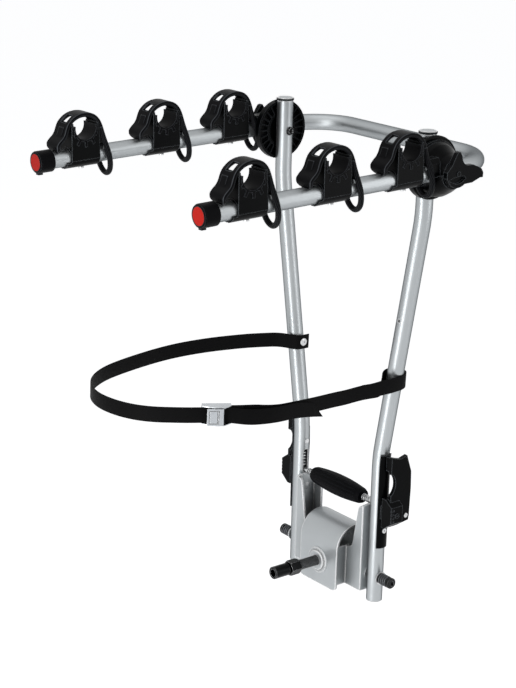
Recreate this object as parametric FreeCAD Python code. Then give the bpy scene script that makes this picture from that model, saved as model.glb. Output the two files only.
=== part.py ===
# Tow-bar bike rack: two bent tube posts on a clamp housing, with a fold-down
# arm bow that carries six rubber-strapped cradles.
# Millimetres, +Z up. The origin is the middle of the tilt axis at the foot.
# -X and +X are the two sides, the arms point along -Y.
import FreeCAD
import Part
import math
import os

V = FreeCAD.Vector

# Tube stock
TUBE_R = 14.0
TUBE_WALL = 2.0

# Posts
POST_FOOT_X = 104.3
POST_TOP_X = 178.0
POST_FOOT_Z = -44.0
POST_TOP_Z = 782.0
BEND_LOW_Z = 219.0
BEND_HIGH_Z = 649.0
POST_BEND_R = 250.0
POST_CAP_R = 15.2
POST_CAP_RING = 3.2
POST_CAP_STEM = 14.0
POST_DISC_THICK = 1.6

# Hubs and arms
HUB_Z = 730.0
HUB_DISC_R = 51.0
HUB_DISC_WEB = 2.6
HUB_RIM_DEPTH = 8.0
HUB_RIM_WIDTH = 4.0
HUB_RIB_COUNT = 24
HUB_RIB_THICK = 2.0
HUB_RING_R = 30.0
HUB_SKIRT_R = 45.0
HUB_SHELL_R = 43.0
HUB_FACE_R = 26.0
HUB_FACE_GAP = 9.5
HUB_FLAT = 6.8
HUB_BOLT_R = 5.0
HUB_HEAD_R = 5.6
HUB_WASHER_R = 7.6
HUB_WASHER = 1.2
HUB_HEAD = 3.4
HUB_NUT_R = 9.2
HUB_NUT = 6.5
ARM_OFFSET = 40.2
ARM_REACH = 470.0
ARM_DROOP = 1.7
BOW_DEPTH = 118.0
BOW_BEND_R = 85.0
ARM_CAP_R = 18.0
ARM_CAP_LENGTH = 27.0
ARM_CAP_LIP = 4.0
ARM_CAP_ROUND = 3.0
RED_DISC_R = 13.6
RED_DISC_THICK = 1.2

# Hub release levers
LEVER_HUB_R = 22.0
LEVER_THICK = 9.0
LEVER_REACH = 53.5
LEVER_FIN_Z = 34.5
LEVER_HOLLOW = 5.0
LEVER_TIP_DEPTH = 17.0
LEVER_PIN_R = 3.0

# Cradles
CRADLE_TIP_SPACE = 81.0
CRADLE_HUB_SPACE = 14.0
CRADLE_SPREAD = 0.5215
CRADLE_HALF_LENGTH = 27.0
CRADLE_WALL = 3.2
CRADLE_HORN_Z = 57.0
CRADLE_HORN_TIP = 3.0
CRADLE_CUP_R = 22.0
CRADLE_CUP_Z = 48.0
CRADLE_SPLIT = 3.0
INSERT_LINING = 2.6
INSERT_TOOTH_DEPTH = 9.0
INSERT_TOOTH_WIDTH = 5.0
INSERT_TEETH = 5
INSERT_TOOTH_STEP = 30.0
INSERT_PROUD = 1.2
SCREW_R = 2.5
SCREW_HEAD_R = 4.4
SCREW_HEAD = 2.4

# Cradle straps
STRAP_WIDTH = 32.0
STRAP_THICK = 4.0
STRAP_CLEAR = 10.5
STRAP_WINDOW = 13.0
LOOP_R = 4.0
LOOP_HALF_WIDTH = 18.4
LOOP_DROP = 30.0

# Clamp housing
HOUSING_WALL = 4.0
HOOD_HALF_WIDTH = 49.0
HOOD_HALF_DEPTH = 41.0
HOOD_ARCH_Z = 34.0
HOOD_FOOT_Z = -42.0
HOOD_CORNER_R = 10.0
HOOD_EDGE_R = 2.5
CHEEK_TOP_Z = 42.0
CHANNEL_HALF_DEPTH = 20.0
CHANNEL_FOOT_Z = -30.0
CHANNEL_GAP = 1.8
FLANGE_REACH = 42.5
FLANGE_TOP_REACH = 12.0
FLANGE_MIDDLE_REACH = 22.5
DIMPLE_R = 5.5
DIMPLE = 1.2
DIMPLE_Z = 104.0
REAR_FLANGE_REACH = 24.0

# Tow ball clamp and spindle
BALL_R = 25.0
BALL_FIT = 0.1
SEAT_HALF_WIDTH = 30.0
SEAT_FOOT = 22.0
SEAT_ROOF = 6.0
SEAT_ROOF_FRONT = -14.0
JAW_HALF_WIDTH = 28.0
JAW_BACK = 29.0
JAW_HALF_HEIGHT = 22.0
SPLIT_GAP = 4.0
SPINDLE_Z = 2.0
SPINDLE_R = 9.0
THREAD_DEPTH = 0.9
THREAD_PITCH = 2.0
TIP_PIN_R = 5.0
TIP_PIN = 2.8
BOSS_R = 23.5
BOSS_STEP_R = 18.0
BOSS_HUB_R = 14.0
BOSS_PLATE = 2.2
BOSS_STEP = 3.0
BOSS_HUB = 0.0
HEX_FLATS = 24.0
HEX_LENGTH = 21.0
HEX_GAP = 41.0
DRIVE_R = 11.0
DRIVE_LENGTH = 31.0
DRIVE_SOCKET_R = 7.0
DRIVE_SOCKET = 16.0
NECK = 3.0

# Tilt pivots
PIVOT_R = 6.0
PIVOT_HEAD = 7.0
PIVOT_HEAD_R = 9.5
PIVOT_WASHER_R = 11.5
PIVOT_WASHER = 1.5
PIVOT_SPRING = 21.4
PIVOT_SPRING_R = 8.4
PIVOT_WIRE_R = 1.5
PIVOT_TURNS = 4
PIVOT_NUT_R = 9.6
PIVOT_NUT = 6.5
PIVOT_SOCKET_R = 4.5

# Release handle
ROD_Z = 133.0
ROD_R = 4.0
ROD_END = 4.0
SLOT_HALF = 5.2
SLOT_LIFT = 33.0
HANDLE_LIFT = 22.0
GRIP_HALF = 64.5
GRIP_END_R = 13.5
GRIP_MID_R = 18.5
GRIP_SHOULDER = 5.0
GRIP_FLUTES = 16
GRIP_FLUTE_DEEP = 0.7
GRIP_FLUTE_WIDE = 1.6
END_SPRING_R = 5.3
END_WIRE_R = 0.7
END_TURNS = 4
SLOT_SPRING_R = 9.6
SLOT_WIRE_R = 1.1
SLOT_TURNS = 8
SPRING_PIN_Z = 187.0
SPRING_PIN_R = 2.5
SPRING_PIN_HEAD_R = 4.2
SPRING_PIN_HEAD = 1.6

# Lamp board brackets on the outside of the posts
BRACKET_LOW_Z = 57.0
BRACKET_HIGH_Z = 226.0
BRACKET_THICK = 3.0
BRACKET_WRAP = 47.0
BRACKET_RIVET_Z = 89.0
BRACKET_RIVET_R = 2.4
BRACKET_RIVET_HEAD_R = 4.4
DRUM_Y = 4.0
DRUM_Z = 124.0
DRUM_WIDTH = 24.0
DRUM_HALF_HIGH = 26.5
DRUM_FACE_HALF = 15.5
DRUM_FRONT_Y = -9.0
DRUM_BACK_Y = 17.0
DRUM_NOTCHES = 4
DRUM_PIN_R = 4.0
FIN_OFFSET = 8.0
FIN_THICK = 7.0
FIN_BACK_Y = 42.0
FIN_TOP_Z = 225.0
FIN_WINDOW_LOW_Z = 158.0
FIN_WINDOW_HIGH_Z = 196.0
BOARD_SCREW_R = 2.2
BOARD_SCREW_HEAD_R = 4.0
BOARD_SCREW_HEAD = 1.8

# Bike strap round the load
WEB_REACH = 464.0
WEB_SIDE = 187.0
WEB_TAIL_X = 133.5
WEB_THICK = 1.6
WEB_WIDTH = 25.0
WEB_Z = 361.0
WEB_TILT = 2.1
WEB_RIVET_R = 2.6
WEB_RIVET_HEAD_R = 7.0
WEB_RIVET_EYE_R = 2.0
WEB_RIVET_Y = 2.0
WEB_RIVET_Z = 365.0
DRAIN_R = 2.5
DRAIN_Z = 470.0

# Strap buckle, in the strap's plan
BUCKLE_TURN = 60.3
BUCKLE_HALF = 15.4
BUCKLE_HALF_LENGTH = 23.0
BUCKLE_SHEET = 1.4
BUCKLE_BACK = 9.8
BUCKLE_BAR_R = 1.5
BUCKLE_BAR_AT = 18.0
BUCKLE_BAR_OUT = -5.5
CAM_R = 5.0
CAM_AT = 6.0
CAM_OUT = 6.4
CAM_PIN_R = 1.6
CAM_LENGTH = 22.5
CAM_PLATE = 2.0
CAM_GROOVE = 0.6

# Clearances
FIT = 0.05
GAP = 0.3
TOUCH = 0.0

# Derived places
POST_INNER_FACE = POST_FOOT_X - TUBE_R
POST_OUTER_FACE = POST_FOOT_X + TUBE_R
CHANNEL_OUT = POST_INNER_FACE - CHANNEL_GAP
CHANNEL_IN = CHANNEL_OUT - HOUSING_WALL
ARM_X = POST_TOP_X + ARM_OFFSET
HUB_IN = POST_TOP_X - TUBE_R
HUB_FACE_X = POST_TOP_X + TUBE_R
HUB_WEB_X = HUB_FACE_X + GAP + HUB_DISC_WEB
SHELL_X = HUB_WEB_X + GAP
SHELL_END_X = ARM_X + TUBE_R + HUB_FACE_GAP
BALL_BORE_R = BALL_R + BALL_FIT
JAW_Y = -JAW_BACK
BOSS_FACE_Y = -HOOD_HALF_DEPTH - BOSS_PLATE - BOSS_STEP
HEX_Y = BOSS_FACE_Y - HEX_GAP
CRADLE_FIRST = -ARM_REACH + CRADLE_TIP_SPACE
CRADLE_LAST = -HUB_SKIRT_R - CRADLE_HUB_SPACE - CRADLE_HALF_LENGTH
CRADLES = (CRADLE_FIRST, CRADLE_FIRST + CRADLE_SPREAD * (CRADLE_LAST - CRADLE_FIRST), CRADLE_LAST)
CRADLE_R = TUBE_R + CRADLE_WALL
STRAP_TOP_Z = CRADLE_HORN_Z + CRADLE_HORN_TIP + STRAP_CLEAR
BUCKLE_X = 0.503 * WEB_SIDE
BUCKLE_Y = -0.734 * WEB_REACH
LEVER_FACE_X = POST_OUTER_FACE + BRACKET_THICK + 1.5
REST_R = ROD_Z - ROD_R - GAP
POST_ROUTE = [
    (POST_FOOT_X, 0, POST_FOOT_Z),
    (POST_FOOT_X, 0, BEND_LOW_Z),
    (POST_TOP_X, 0, BEND_HIGH_Z),
    (POST_TOP_X, 0, POST_TOP_Z),
]
BOW_ROUTE = [
    (-ARM_X, -ARM_REACH, HUB_Z),
    (-ARM_X, BOW_DEPTH, HUB_Z),
    (ARM_X, BOW_DEPTH, HUB_Z),
    (ARM_X, -ARM_REACH, HUB_Z),
]


def cylinder(radius, start, end):
    """A round bar between two points."""
    axis = V(*end) - V(*start)
    return Part.makeCylinder(radius, axis.Length, V(*start), axis)


def block(x, y, z):
    """A box from three (low, high) pairs."""
    return Part.makeBox(x[1] - x[0], y[1] - y[0], z[1] - z[0], V(x[0], y[0], z[0]))


def outline(points):
    """A closed wire; a point given as a pair (middle, end) is reached by an arc."""
    here = points[0]
    edges = []
    for step in points[1:] + [points[0]]:
        if isinstance(step[0], tuple):
            middle, there = step
            edges.append(Part.Arc(V(*here), V(*middle), V(*there)).toShape())
        else:
            there = step
            edges.append(Part.makeLine(V(*here), V(*there)))
        here = there
    return Part.Wire(edges)


def side_plate(points, x_low, x_high):
    """A plate with a (y, z) outline, from x_low to x_high."""

    def lift(p):
        if isinstance(p[0], tuple):
            return tuple(lift(q) for q in p)
        return (x_low, p[0], p[1])

    return Part.Face(outline([lift(p) for p in points])).extrude(V(x_high - x_low, 0, 0))


def front_plate(points, y_low, y_high):
    """A plate with an (x, z) outline, from y_low to y_high."""
    wire = outline([(p[0], y_low, p[1]) for p in points])
    return Part.Face(wire).extrude(V(0, y_high - y_low, 0))


def turned(points, origin, axis):
    """A solid turned about axis from (distance along, radius) pairs."""
    along = V(*axis)
    side = V(0, 0, 1) if abs(along.z) < 0.5 else V(1, 0, 0)
    places = [V(*origin) + along * a + side * r for a, r in points]
    wire = Part.makePolygon(places + [places[0]])
    return Part.Face(wire).revolve(V(*origin), along, 360)


def bent_route(points, radii):
    """Straight runs joined by tangent arcs, with one radius for each inner point."""
    pts = [V(*p) for p in points]
    edges = []
    here = pts[0]
    for i, radius in enumerate(radii):
        corner = pts[i + 1]
        into = (corner - pts[i]).normalize()
        out = (pts[i + 2] - corner).normalize()
        turn = into.getAngle(out)
        step = radius * math.tan(turn / 2)
        bisector = (out - into).normalize()
        start = corner - into * step
        end = corner + out * step
        middle = corner + bisector * (radius / math.cos(turn / 2) - radius)
        edges.append(Part.makeLine(here, start))
        edges.append(Part.Arc(start, middle, end).toShape())
        here = end
    edges.append(Part.makeLine(here, pts[-1]))
    return Part.Wire(edges)


def swept(route, section):
    """A solid of one section wire drawn along a route."""
    return Part.Wire(route).makePipeShell([section], True, False)


def round_section(radius, start, direction):
    return Part.Wire([Part.makeCircle(radius, V(*start), V(*direction))])


def biarc(p0, t0, p1, t1):
    """Two tangent arcs between two points with given directions."""
    chord = p1 - p0
    both = t0 + t1
    bend = 2 * (1 - t0.dot(t1))
    reach = (-chord.dot(both) + math.sqrt(chord.dot(both) ** 2 + bend * chord.dot(chord))) / bend
    middle = (p0 + p1 + (t0 - t1) * reach) * 0.5
    return [arc_from(p0, t0, middle), arc_from(p1, t1 * -1, middle, True)]


def arc_from(start, tangent, end, backwards=False):
    """An arc of less than a half circle that leaves start along tangent."""
    chord = end - start
    across = chord - tangent * chord.dot(tangent)
    centre = start + across * (chord.dot(chord) / (2 * across.dot(chord)))
    radius = (start - centre).Length
    middle = centre + ((start + end) * 0.5 - centre).normalize() * radius
    if backwards:
        return Part.Arc(end, middle, start).toShape()
    return Part.Arc(start, middle, end).toShape()


def coil(name, origin, axis, side, radius, wire_r, length, turns):
    """One unbroken wire spring along axis, its coils worked out on quarter turns."""
    axis = V(*axis)
    side = V(*side)
    across = axis.cross(side)
    rise = (length - 2 * wire_r) / turns
    slope = rise / (2 * math.pi)

    def place(angle):
        around = side * (radius * math.cos(angle)) + across * (radius * math.sin(angle))
        return V(*origin) + axis * (wire_r + slope * angle) + around

    def heading(angle):
        around = across * (radius * math.cos(angle)) - side * (radius * math.sin(angle))
        return (around + axis * slope).normalize()

    edges = [Part.makeLine(place(0) - heading(0) * (2 * wire_r), place(0))]
    for i in range(4 * turns):
        a = i * math.pi / 2
        b = a + math.pi / 2
        edges += biarc(place(a), heading(a), place(b), heading(b))
    last = 2 * math.pi * turns
    edges.append(Part.makeLine(place(last), place(last) + heading(last) * (2 * wire_r)))
    start = edges[0].Vertexes[0].Point
    spring = swept(edges, Part.Wire([Part.makeCircle(wire_r, start, heading(0))]))
    samples = [place(2 * math.pi * turns * i / (48 * turns)) for i in range(48 * turns + 1)]
    far = [(p - q).Length for i, p in enumerate(samples) for q in samples[i + 24:]]
    print(f"{name}: least gap between turns {min(far) - 2 * wire_r:.2f}")
    return spring


def mirrored(shape):
    """The same piece on the other side."""
    return shape.mirror(V(0, 0, 0), V(1, 0, 0))


def drooped(shape):
    """Turns a piece of the arms about the hub axis to the angle the arms hang at."""
    copy = shape.copy()
    copy.rotate(V(0, 0, HUB_Z), V(1, 0, 0), ARM_DROOP)
    return copy


def group(shapes):
    return Part.makeCompound(shapes)


def save(name, shape):
    shape.exportStep(f"parts/{name}.step")
    solids = shape.Solids
    volume = sum(s.Volume for s in solids) / 1000
    state = "" if shape.isValid() and all(s.Volume > 0 for s in solids) else " NOT VALID"
    print(f"{name}: {len(solids)} solid(s), {volume:.2f} cm3{state}")


def save_pair(name, shape):
    """The +X piece and its mirror image."""
    save(f"{name}_right", shape)
    save(f"{name}_left", mirrored(shape))


def save_both(name, shapes):
    """The +X pieces and their mirror images in one group."""
    save(name, group(shapes + [mirrored(s) for s in shapes]))


def post_solid(radius):
    route = bent_route(POST_ROUTE, [POST_BEND_R, POST_BEND_R])
    return swept(route.Edges, round_section(radius, POST_ROUTE[0], (0, 0, 1)))


def post():
    """A bent tube with the rod slot, the tilt pivot and hub bolt holes."""
    tube = post_solid(TUBE_R).cut(post_solid(TUBE_R - TUBE_WALL))
    inside = (POST_INNER_FACE - 1, POST_FOOT_X)
    half = SLOT_HALF
    slot = block(inside, (-half, half), (ROD_Z, ROD_Z + SLOT_LIFT))
    for z in (ROD_Z, ROD_Z + SLOT_LIFT):
        slot = slot.fuse(cylinder(half, (inside[0], 0, z), (inside[1], 0, z)))
    holes = [
        slot,
        cylinder(PIVOT_R + FIT, (inside[0], 0, 0), (POST_OUTER_FACE + 1, 0, 0)),
        cylinder(HUB_BOLT_R, (HUB_IN - 1, 0, HUB_Z), (HUB_FACE_X + 1, 0, HUB_Z)),
        cylinder(SPRING_PIN_R, (inside[0], 0, SPRING_PIN_Z), (POST_FOOT_X, 0, SPRING_PIN_Z)),
        cylinder(BRACKET_RIVET_R, (POST_FOOT_X, 0, BRACKET_RIVET_Z), (POST_OUTER_FACE + 1, 0, BRACKET_RIVET_Z)),
    ]
    return tube.cut(holes)


def left_post():
    """The left post also has the hole of the strap rivet in its inner side."""
    x = -post_x_at(WEB_RIVET_Z)
    hole = cylinder(WEB_RIVET_R, (x, WEB_RIVET_Y, WEB_RIVET_Z), (x + TUBE_R + 3, WEB_RIVET_Y, WEB_RIVET_Z))
    return mirrored(post()).cut(hole)


def right_post():
    """The right post has a small drain hole in its front, above the strap."""
    x = post_x_at(DRAIN_Z)
    return post().cut(cylinder(DRAIN_R, (x, -TUBE_R - 1, DRAIN_Z), (x, 0, DRAIN_Z)))


def post_cap():
    """A black ring plug with notches in its rim, pressed into the post's top."""
    stem_r = TUBE_R - TUBE_WALL
    top = POST_TOP_Z + POST_CAP_RING
    cap = turned(
        [(POST_TOP_Z - POST_CAP_STEM, 0), (POST_TOP_Z - POST_CAP_STEM, stem_r), (POST_TOP_Z, stem_r),
         (POST_TOP_Z, POST_CAP_R - 0.6), (POST_TOP_Z + 0.8, POST_CAP_R), (top, POST_CAP_R), (top, 0)],
        (POST_TOP_X, 0, 0), (0, 0, 1),
    )
    for i in range(12):
        angle = math.radians(30 * i)
        x = POST_TOP_X + (POST_CAP_R + 0.2) * math.cos(angle)
        y = (POST_CAP_R + 0.2) * math.sin(angle)
        cap = cap.cut(cylinder(1.0, (x, y, POST_TOP_Z - 1), (x, y, POST_TOP_Z + 1.6)))
    return cap


def post_disc():
    top = POST_TOP_Z + POST_CAP_RING
    return turned(
        [(top, 0), (top, POST_CAP_R - 0.8), (top + POST_DISC_THICK, POST_CAP_R - 2.4), (top + POST_DISC_THICK, 0)],
        (POST_TOP_X, 0, 0), (0, 0, 1),
    )


def bow_solid(radius):
    route = bent_route(BOW_ROUTE, [BOW_BEND_R, BOW_BEND_R])
    return swept(route.Edges, round_section(radius, BOW_ROUTE[0], (0, 1, 0)))


def arm_bow():
    """The two arms and the bow behind the hubs, one tube bent to a U."""
    tube = bow_solid(TUBE_R).cut(bow_solid(TUBE_R - TUBE_WALL))
    for side in (-1, 1):
        x = side * ARM_X
        tube = tube.cut(cylinder(HUB_BOLT_R + FIT, (x - TUBE_R - 1, 0, HUB_Z), (x + TUBE_R + 1, 0, HUB_Z)))
        for y in CRADLES:
            tube = tube.cut(cylinder(SCREW_R, (x, y, HUB_Z - TUBE_R - 1), (x, y, HUB_Z + TUBE_R + 1)))
    return drooped(tube)


def arm_cap():
    """A rubber end cap over the arm's tip, with a recess for the red disc."""
    tip = -ARM_REACH
    cap = turned(
        [(tip - ARM_CAP_LIP, 0), (tip - ARM_CAP_LIP, ARM_CAP_R - ARM_CAP_ROUND),
         (tip - ARM_CAP_LIP + 0.3 * ARM_CAP_ROUND, ARM_CAP_R - 0.3 * ARM_CAP_ROUND),
         (tip - ARM_CAP_LIP + ARM_CAP_ROUND, ARM_CAP_R), (tip + ARM_CAP_LENGTH - ARM_CAP_LIP, ARM_CAP_R),
         (tip + ARM_CAP_LENGTH - ARM_CAP_LIP, TUBE_R), (tip, TUBE_R), (tip, 0)],
        (ARM_X, 0, HUB_Z), (0, 1, 0),
    )
    end = tip - ARM_CAP_LIP
    cap = cap.cut(cylinder(RED_DISC_R, (ARM_X, end - 1, HUB_Z), (ARM_X, end + RED_DISC_THICK, HUB_Z)))
    tab = block(
        (ARM_X - 4, ARM_X + 4), (end + 3, end + 11), (HUB_Z - ARM_CAP_R - 2.4, HUB_Z - ARM_CAP_R + 1.5)
    )
    return drooped(cap.fuse(tab))


def red_disc():
    end = -ARM_REACH - ARM_CAP_LIP
    return drooped(cylinder(RED_DISC_R, (ARM_X, end, HUB_Z), (ARM_X, end + RED_DISC_THICK, HUB_Z)))


def cradle_profile():
    """The side outline of a cradle: a saddle foot with two horns round a cup."""
    half = CRADLE_HALF_LENGTH
    horn_in = CRADLE_CUP_R + 0.6
    top = CRADLE_HORN_Z
    return [
        (-half, -4.0), (-half + 0.8, 30.0), (-horn_in - CRADLE_HORN_TIP, top - 3.0),
        (-horn_in - CRADLE_HORN_TIP + 1.4, top), (-horn_in, top), (-CRADLE_CUP_R, CRADLE_CUP_Z),
        ((0.0, CRADLE_CUP_Z - CRADLE_CUP_R), (CRADLE_CUP_R, CRADLE_CUP_Z)),
        (horn_in, top - 2.0), (horn_in + CRADLE_HORN_TIP, top - 2.0), (half - 0.8, 30.0), (half, -4.0),
    ]


def cradle_insert_blank(grow):
    """The soft lining's solid: a U with square teeth set into the cradle below it."""
    width = CRADLE_R + INSERT_PROUD
    outer = CRADLE_CUP_R + grow
    inner = CRADLE_CUP_R - INSERT_LINING
    ring = cylinder(outer, (-width, 0, CRADLE_CUP_Z), (width, 0, CRADLE_CUP_Z))
    for i in range(INSERT_TEETH):
        angle = INSERT_TOOTH_STEP * (i - (INSERT_TEETH - 1) / 2)
        half = INSERT_TOOTH_WIDTH / 2
        depth = CRADLE_CUP_R + INSERT_TOOTH_DEPTH * (1.0 if abs(angle) < 45 else 0.3)
        tooth = block((-width, width), (-half, half), (-depth, 0))
        tooth.translate(V(0, 0, CRADLE_CUP_Z))
        tooth.rotate(V(0, 0, CRADLE_CUP_Z), V(1, 0, 0), angle)
        ring = ring.fuse(tooth)
    ring = ring.cut(cylinder(inner, (-width - 1, 0, CRADLE_CUP_Z), (width + 1, 0, CRADLE_CUP_Z)))
    above = block((-width - 1, width + 1), (-60, 60), (CRADLE_CUP_Z + 4, CRADLE_CUP_Z + 60))
    return ring.cut(above)


def cradle():
    """One cradle at the arm axis: the sleeve round the tube and the horned saddle."""
    half = CRADLE_HALF_LENGTH
    sleeve = cylinder(CRADLE_R, (0, -half, 0), (0, half, 0))
    saddle = side_plate(cradle_profile(), -CRADLE_R, CRADLE_R)
    lip = cylinder(CRADLE_R, (0, -half - 7, 0), (0, -half + 4, 0))
    lip = lip.cut(block((-CRADLE_R - 1, CRADLE_R + 1), (-half - 8, -half + 5), (-7.0, CRADLE_R + 1)))
    body = sleeve.fuse(saddle).fuse(lip)
    hook = side_plate(
        [(-25.5, 50.0), (-27.2, 54.5), (-25.8, 56.5), (-23.0, 56.0)], -STRAP_WINDOW / 2 + 1, STRAP_WINDOW / 2 - 1
    )
    body = body.fuse(hook)
    body = body.cut(cylinder(TUBE_R, (0, -half - 9, 0), (0, half + 5, 0)))
    body = body.cut(cradle_insert_blank(0.5))
    split = CRADLE_SPLIT / 2
    body = body.cut(block((-split, split), (-half - 9, half + 5), (-CRADLE_R - 1, -TUBE_R + 1)))
    return body.cut(cylinder(SCREW_R, (0, 0, -CRADLE_R - 1), (0, 0, TUBE_R + 2)))


def cradle_screw():
    """The screw that comes up through the tube into the cradle."""
    shank = cylinder(SCREW_R, (0, 0, -CRADLE_R), (0, 0, TUBE_R + 2))
    head = cylinder(SCREW_HEAD_R, (0, 0, -CRADLE_R - SCREW_HEAD), (0, 0, -CRADLE_R))
    recess = cylinder(1.8, (0, 0, -CRADLE_R - SCREW_HEAD - 1), (0, 0, -CRADLE_R - SCREW_HEAD + 1.4))
    return shank.fuse(head).cut(recess)


def strap_route():
    """Middle line of a cradle strap from its pull tab over the top to the loop."""
    half = CRADLE_HALF_LENGTH
    top = CRADLE_HORN_Z
    return [
        (0, -half - 23.0, top - 39.0), (0, -half - 10.0, top - 19.0), (0, -half, top + 4.0),
        (0, 1.0, STRAP_TOP_Z + 3.0), (0, half + 1.0, top + 5.0), (0, half + 8.5, top - 30.0),
    ]


def cradle_strap():
    """The wide rubber band over the cradle, with its window for the hook."""
    points = strap_route()
    route = bent_route(points, [26.0, 30.0, 46.0, 20.0])
    first = V(*points[1]) - V(*points[0])
    across = V(1, 0, 0)
    up = first.cross(across).normalize()
    start = V(*points[0])
    half_w = STRAP_WIDTH / 2
    half_t = STRAP_THICK / 2
    corners = [
        start + across * (a * half_w) + up * (b * half_t) for a, b in ((-1, -1), (1, -1), (1, 1), (-1, 1))
    ]
    band = swept(route.Edges, Part.makePolygon(corners + [corners[0]]))
    half = STRAP_WINDOW / 2
    return band.cut(block((-half, half), (-32.0, -19.5), (48.0, 80.0)))


def strap_loop():
    """The round rubber loop that hangs from the band under the arm."""
    high = (13.0, 36.0, CRADLE_HORN_Z - 33.6)
    side = (LOOP_HALF_WIDTH, 38.5, 3.0)
    low = (LOOP_HALF_WIDTH, 45.0, -LOOP_DROP)
    points = [high, side, low] + [(-p[0], p[1], p[2]) for p in (low, side, high)]
    bottom_r = LOOP_HALF_WIDTH - 1.0
    route = bent_route(points, [40.0, bottom_r, bottom_r, 40.0])
    direction = V(*side) - V(*high)
    return swept(route.Edges, round_section(LOOP_R, high, direction))


def at_cradle(shape, y):
    """A cradle piece moved to its place on the right arm, in the drooped arm's frame."""
    copy = shape.copy()
    copy.translate(V(ARM_X, y, HUB_Z))
    return drooped(copy)


def hub_disc():
    """The ribbed disc fixed to the outside of the post."""
    low = HUB_FACE_X + GAP
    disc = cylinder(HUB_DISC_R, (low, 0, HUB_Z), (HUB_WEB_X, 0, HUB_Z))
    rim_low = low - HUB_RIM_DEPTH
    rim = cylinder(HUB_DISC_R, (rim_low, 0, HUB_Z), (low, 0, HUB_Z))
    rim = rim.cut(cylinder(HUB_DISC_R - HUB_RIM_WIDTH, (rim_low - 1, 0, HUB_Z), (low + 1, 0, HUB_Z)))
    ring = cylinder(HUB_RING_R, (rim_low + 2, 0, HUB_Z), (low, 0, HUB_Z))
    ring = ring.cut(cylinder(HUB_RING_R - HUB_RIM_WIDTH, (rim_low - 1, 0, HUB_Z), (low + 1, 0, HUB_Z)))
    ribs = []
    for i in range(HUB_RIB_COUNT):
        rib = block(
            (rim_low + 2, low), (-HUB_RIB_THICK / 2, HUB_RIB_THICK / 2),
            (HUB_Z + HUB_RING_R - 1, HUB_Z + HUB_DISC_R - 1),
        )
        rib.rotate(V(0, 0, HUB_Z), V(1, 0, 0), 360 * i / HUB_RIB_COUNT)
        ribs.append(rib)
    ribbed = rim.fuse([ring] + ribs)
    clear = TUBE_R + 1.5
    ribbed = ribbed.cut(block((rim_low - 1, low), (-clear, clear), (HUB_Z - 60, HUB_Z + 60)))
    disc = disc.fuse(ribbed)
    return disc.cut(cylinder(HUB_BOLT_R, (rim_low - 1, 0, HUB_Z), (HUB_WEB_X + 1, 0, HUB_Z)))


def hub_shell():
    """The arm's hub: a deep bowl below, a flatter dome above and a block over the tube in front.

    Its front is flat, clear of the loop that hangs from the nearest cradle.
    """
    low = SHELL_X
    high = SHELL_END_X
    skirt = HUB_SKIRT_R
    bowl = turned(
        [(low, 0), (low, skirt), (low + 8, skirt), (low + 19, skirt - 2), (low + 30, skirt - 8),
         (low + 40, skirt - 15), (high, HUB_FACE_R), (high, 0)],
        (0, 0, HUB_Z), (1, 0, 0),
    )
    dome = turned(
        [(low, 0), (low, skirt), (low + 5, skirt), (low + 7, HUB_SHELL_R - 1), (low + 15, HUB_SHELL_R - 4),
         (low + 24, HUB_SHELL_R - 10), (low + 34, HUB_FACE_R + 1), (high, HUB_FACE_R - 4), (high, 0)],
        (0, 0, HUB_Z), (1, 0, 0),
    )
    reach = skirt + 5
    bowl = bowl.cut(block((low - 1, high + 1), (-reach, reach), (HUB_Z - 2, HUB_Z + reach)))
    over = TUBE_R + 1
    front = front_plate(
        [(ARM_X - over, HUB_Z - 4), (ARM_X - over, HUB_Z + 20), (ARM_X - 9, HUB_Z + 24), (ARM_X + 6, HUB_Z + 24),
         (ARM_X + 13, HUB_Z + 16), (ARM_X + over + 2, HUB_Z + 4), (ARM_X + over + 2, HUB_Z - 4)],
        -skirt + HUB_FLAT, 0,
    )
    shell = dome.fuse([bowl, front])
    shell = shell.cut(block((low - 1, high + 1), (-reach, -skirt + HUB_FLAT), (HUB_Z - reach, HUB_Z + reach)))
    shell = shell.cut(bow_solid(TUBE_R))
    shell = shell.cut(cylinder(HUB_BOLT_R + FIT, (SHELL_X - 1, 0, HUB_Z), (ARM_X, 0, HUB_Z)))
    cavity = HUB_NUT_R + 1.0
    shell = shell.cut(cylinder(cavity, (ARM_X + TUBE_R - 6, 0, HUB_Z), (SHELL_END_X + 1, 0, HUB_Z)))
    return drooped(max(shell.Solids, key=lambda s: s.Volume))


def hub_bolt():
    """The bolt from the inside of the post through the disc, the shell and the arm."""
    tip = ARM_X + TUBE_R + GAP + HUB_NUT
    head_x = HUB_IN - HUB_WASHER
    shaft = cylinder(HUB_BOLT_R, (HUB_IN, 0, HUB_Z), (tip, 0, HUB_Z))
    washer = cylinder(HUB_WASHER_R, (head_x, 0, HUB_Z), (HUB_IN, 0, HUB_Z))
    head = cylinder(HUB_HEAD_R, (head_x - HUB_HEAD, 0, HUB_Z), (head_x, 0, HUB_Z))
    socket = cylinder(3.0, (head_x - HUB_HEAD - 1, 0, HUB_Z), (head_x - 1, 0, HUB_Z))
    return shaft.fuse([washer, head]).cut(socket)


def hexagon(radius, start, length, axis):
    """A hexagonal bar; radius is across the corners, axis is X or Y."""
    points = []
    for i in range(7):
        angle = math.radians(60 * i)
        a = radius * math.cos(angle)
        b = radius * math.sin(angle)
        points.append(V(*start) + (V(0, a, b) if axis == "X" else V(a, 0, b)))
    run = V(length, 0, 0) if axis == "X" else V(0, length, 0)
    return Part.Face(Part.makePolygon(points)).extrude(run)


def hub_nut():
    x = ARM_X + TUBE_R + GAP
    nut = hexagon(HUB_NUT_R, (x, 0, HUB_Z), HUB_NUT, "X")
    return nut.cut(cylinder(HUB_BOLT_R, (x - 1, 0, HUB_Z), (x + HUB_NUT + 1, 0, HUB_Z)))


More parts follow.
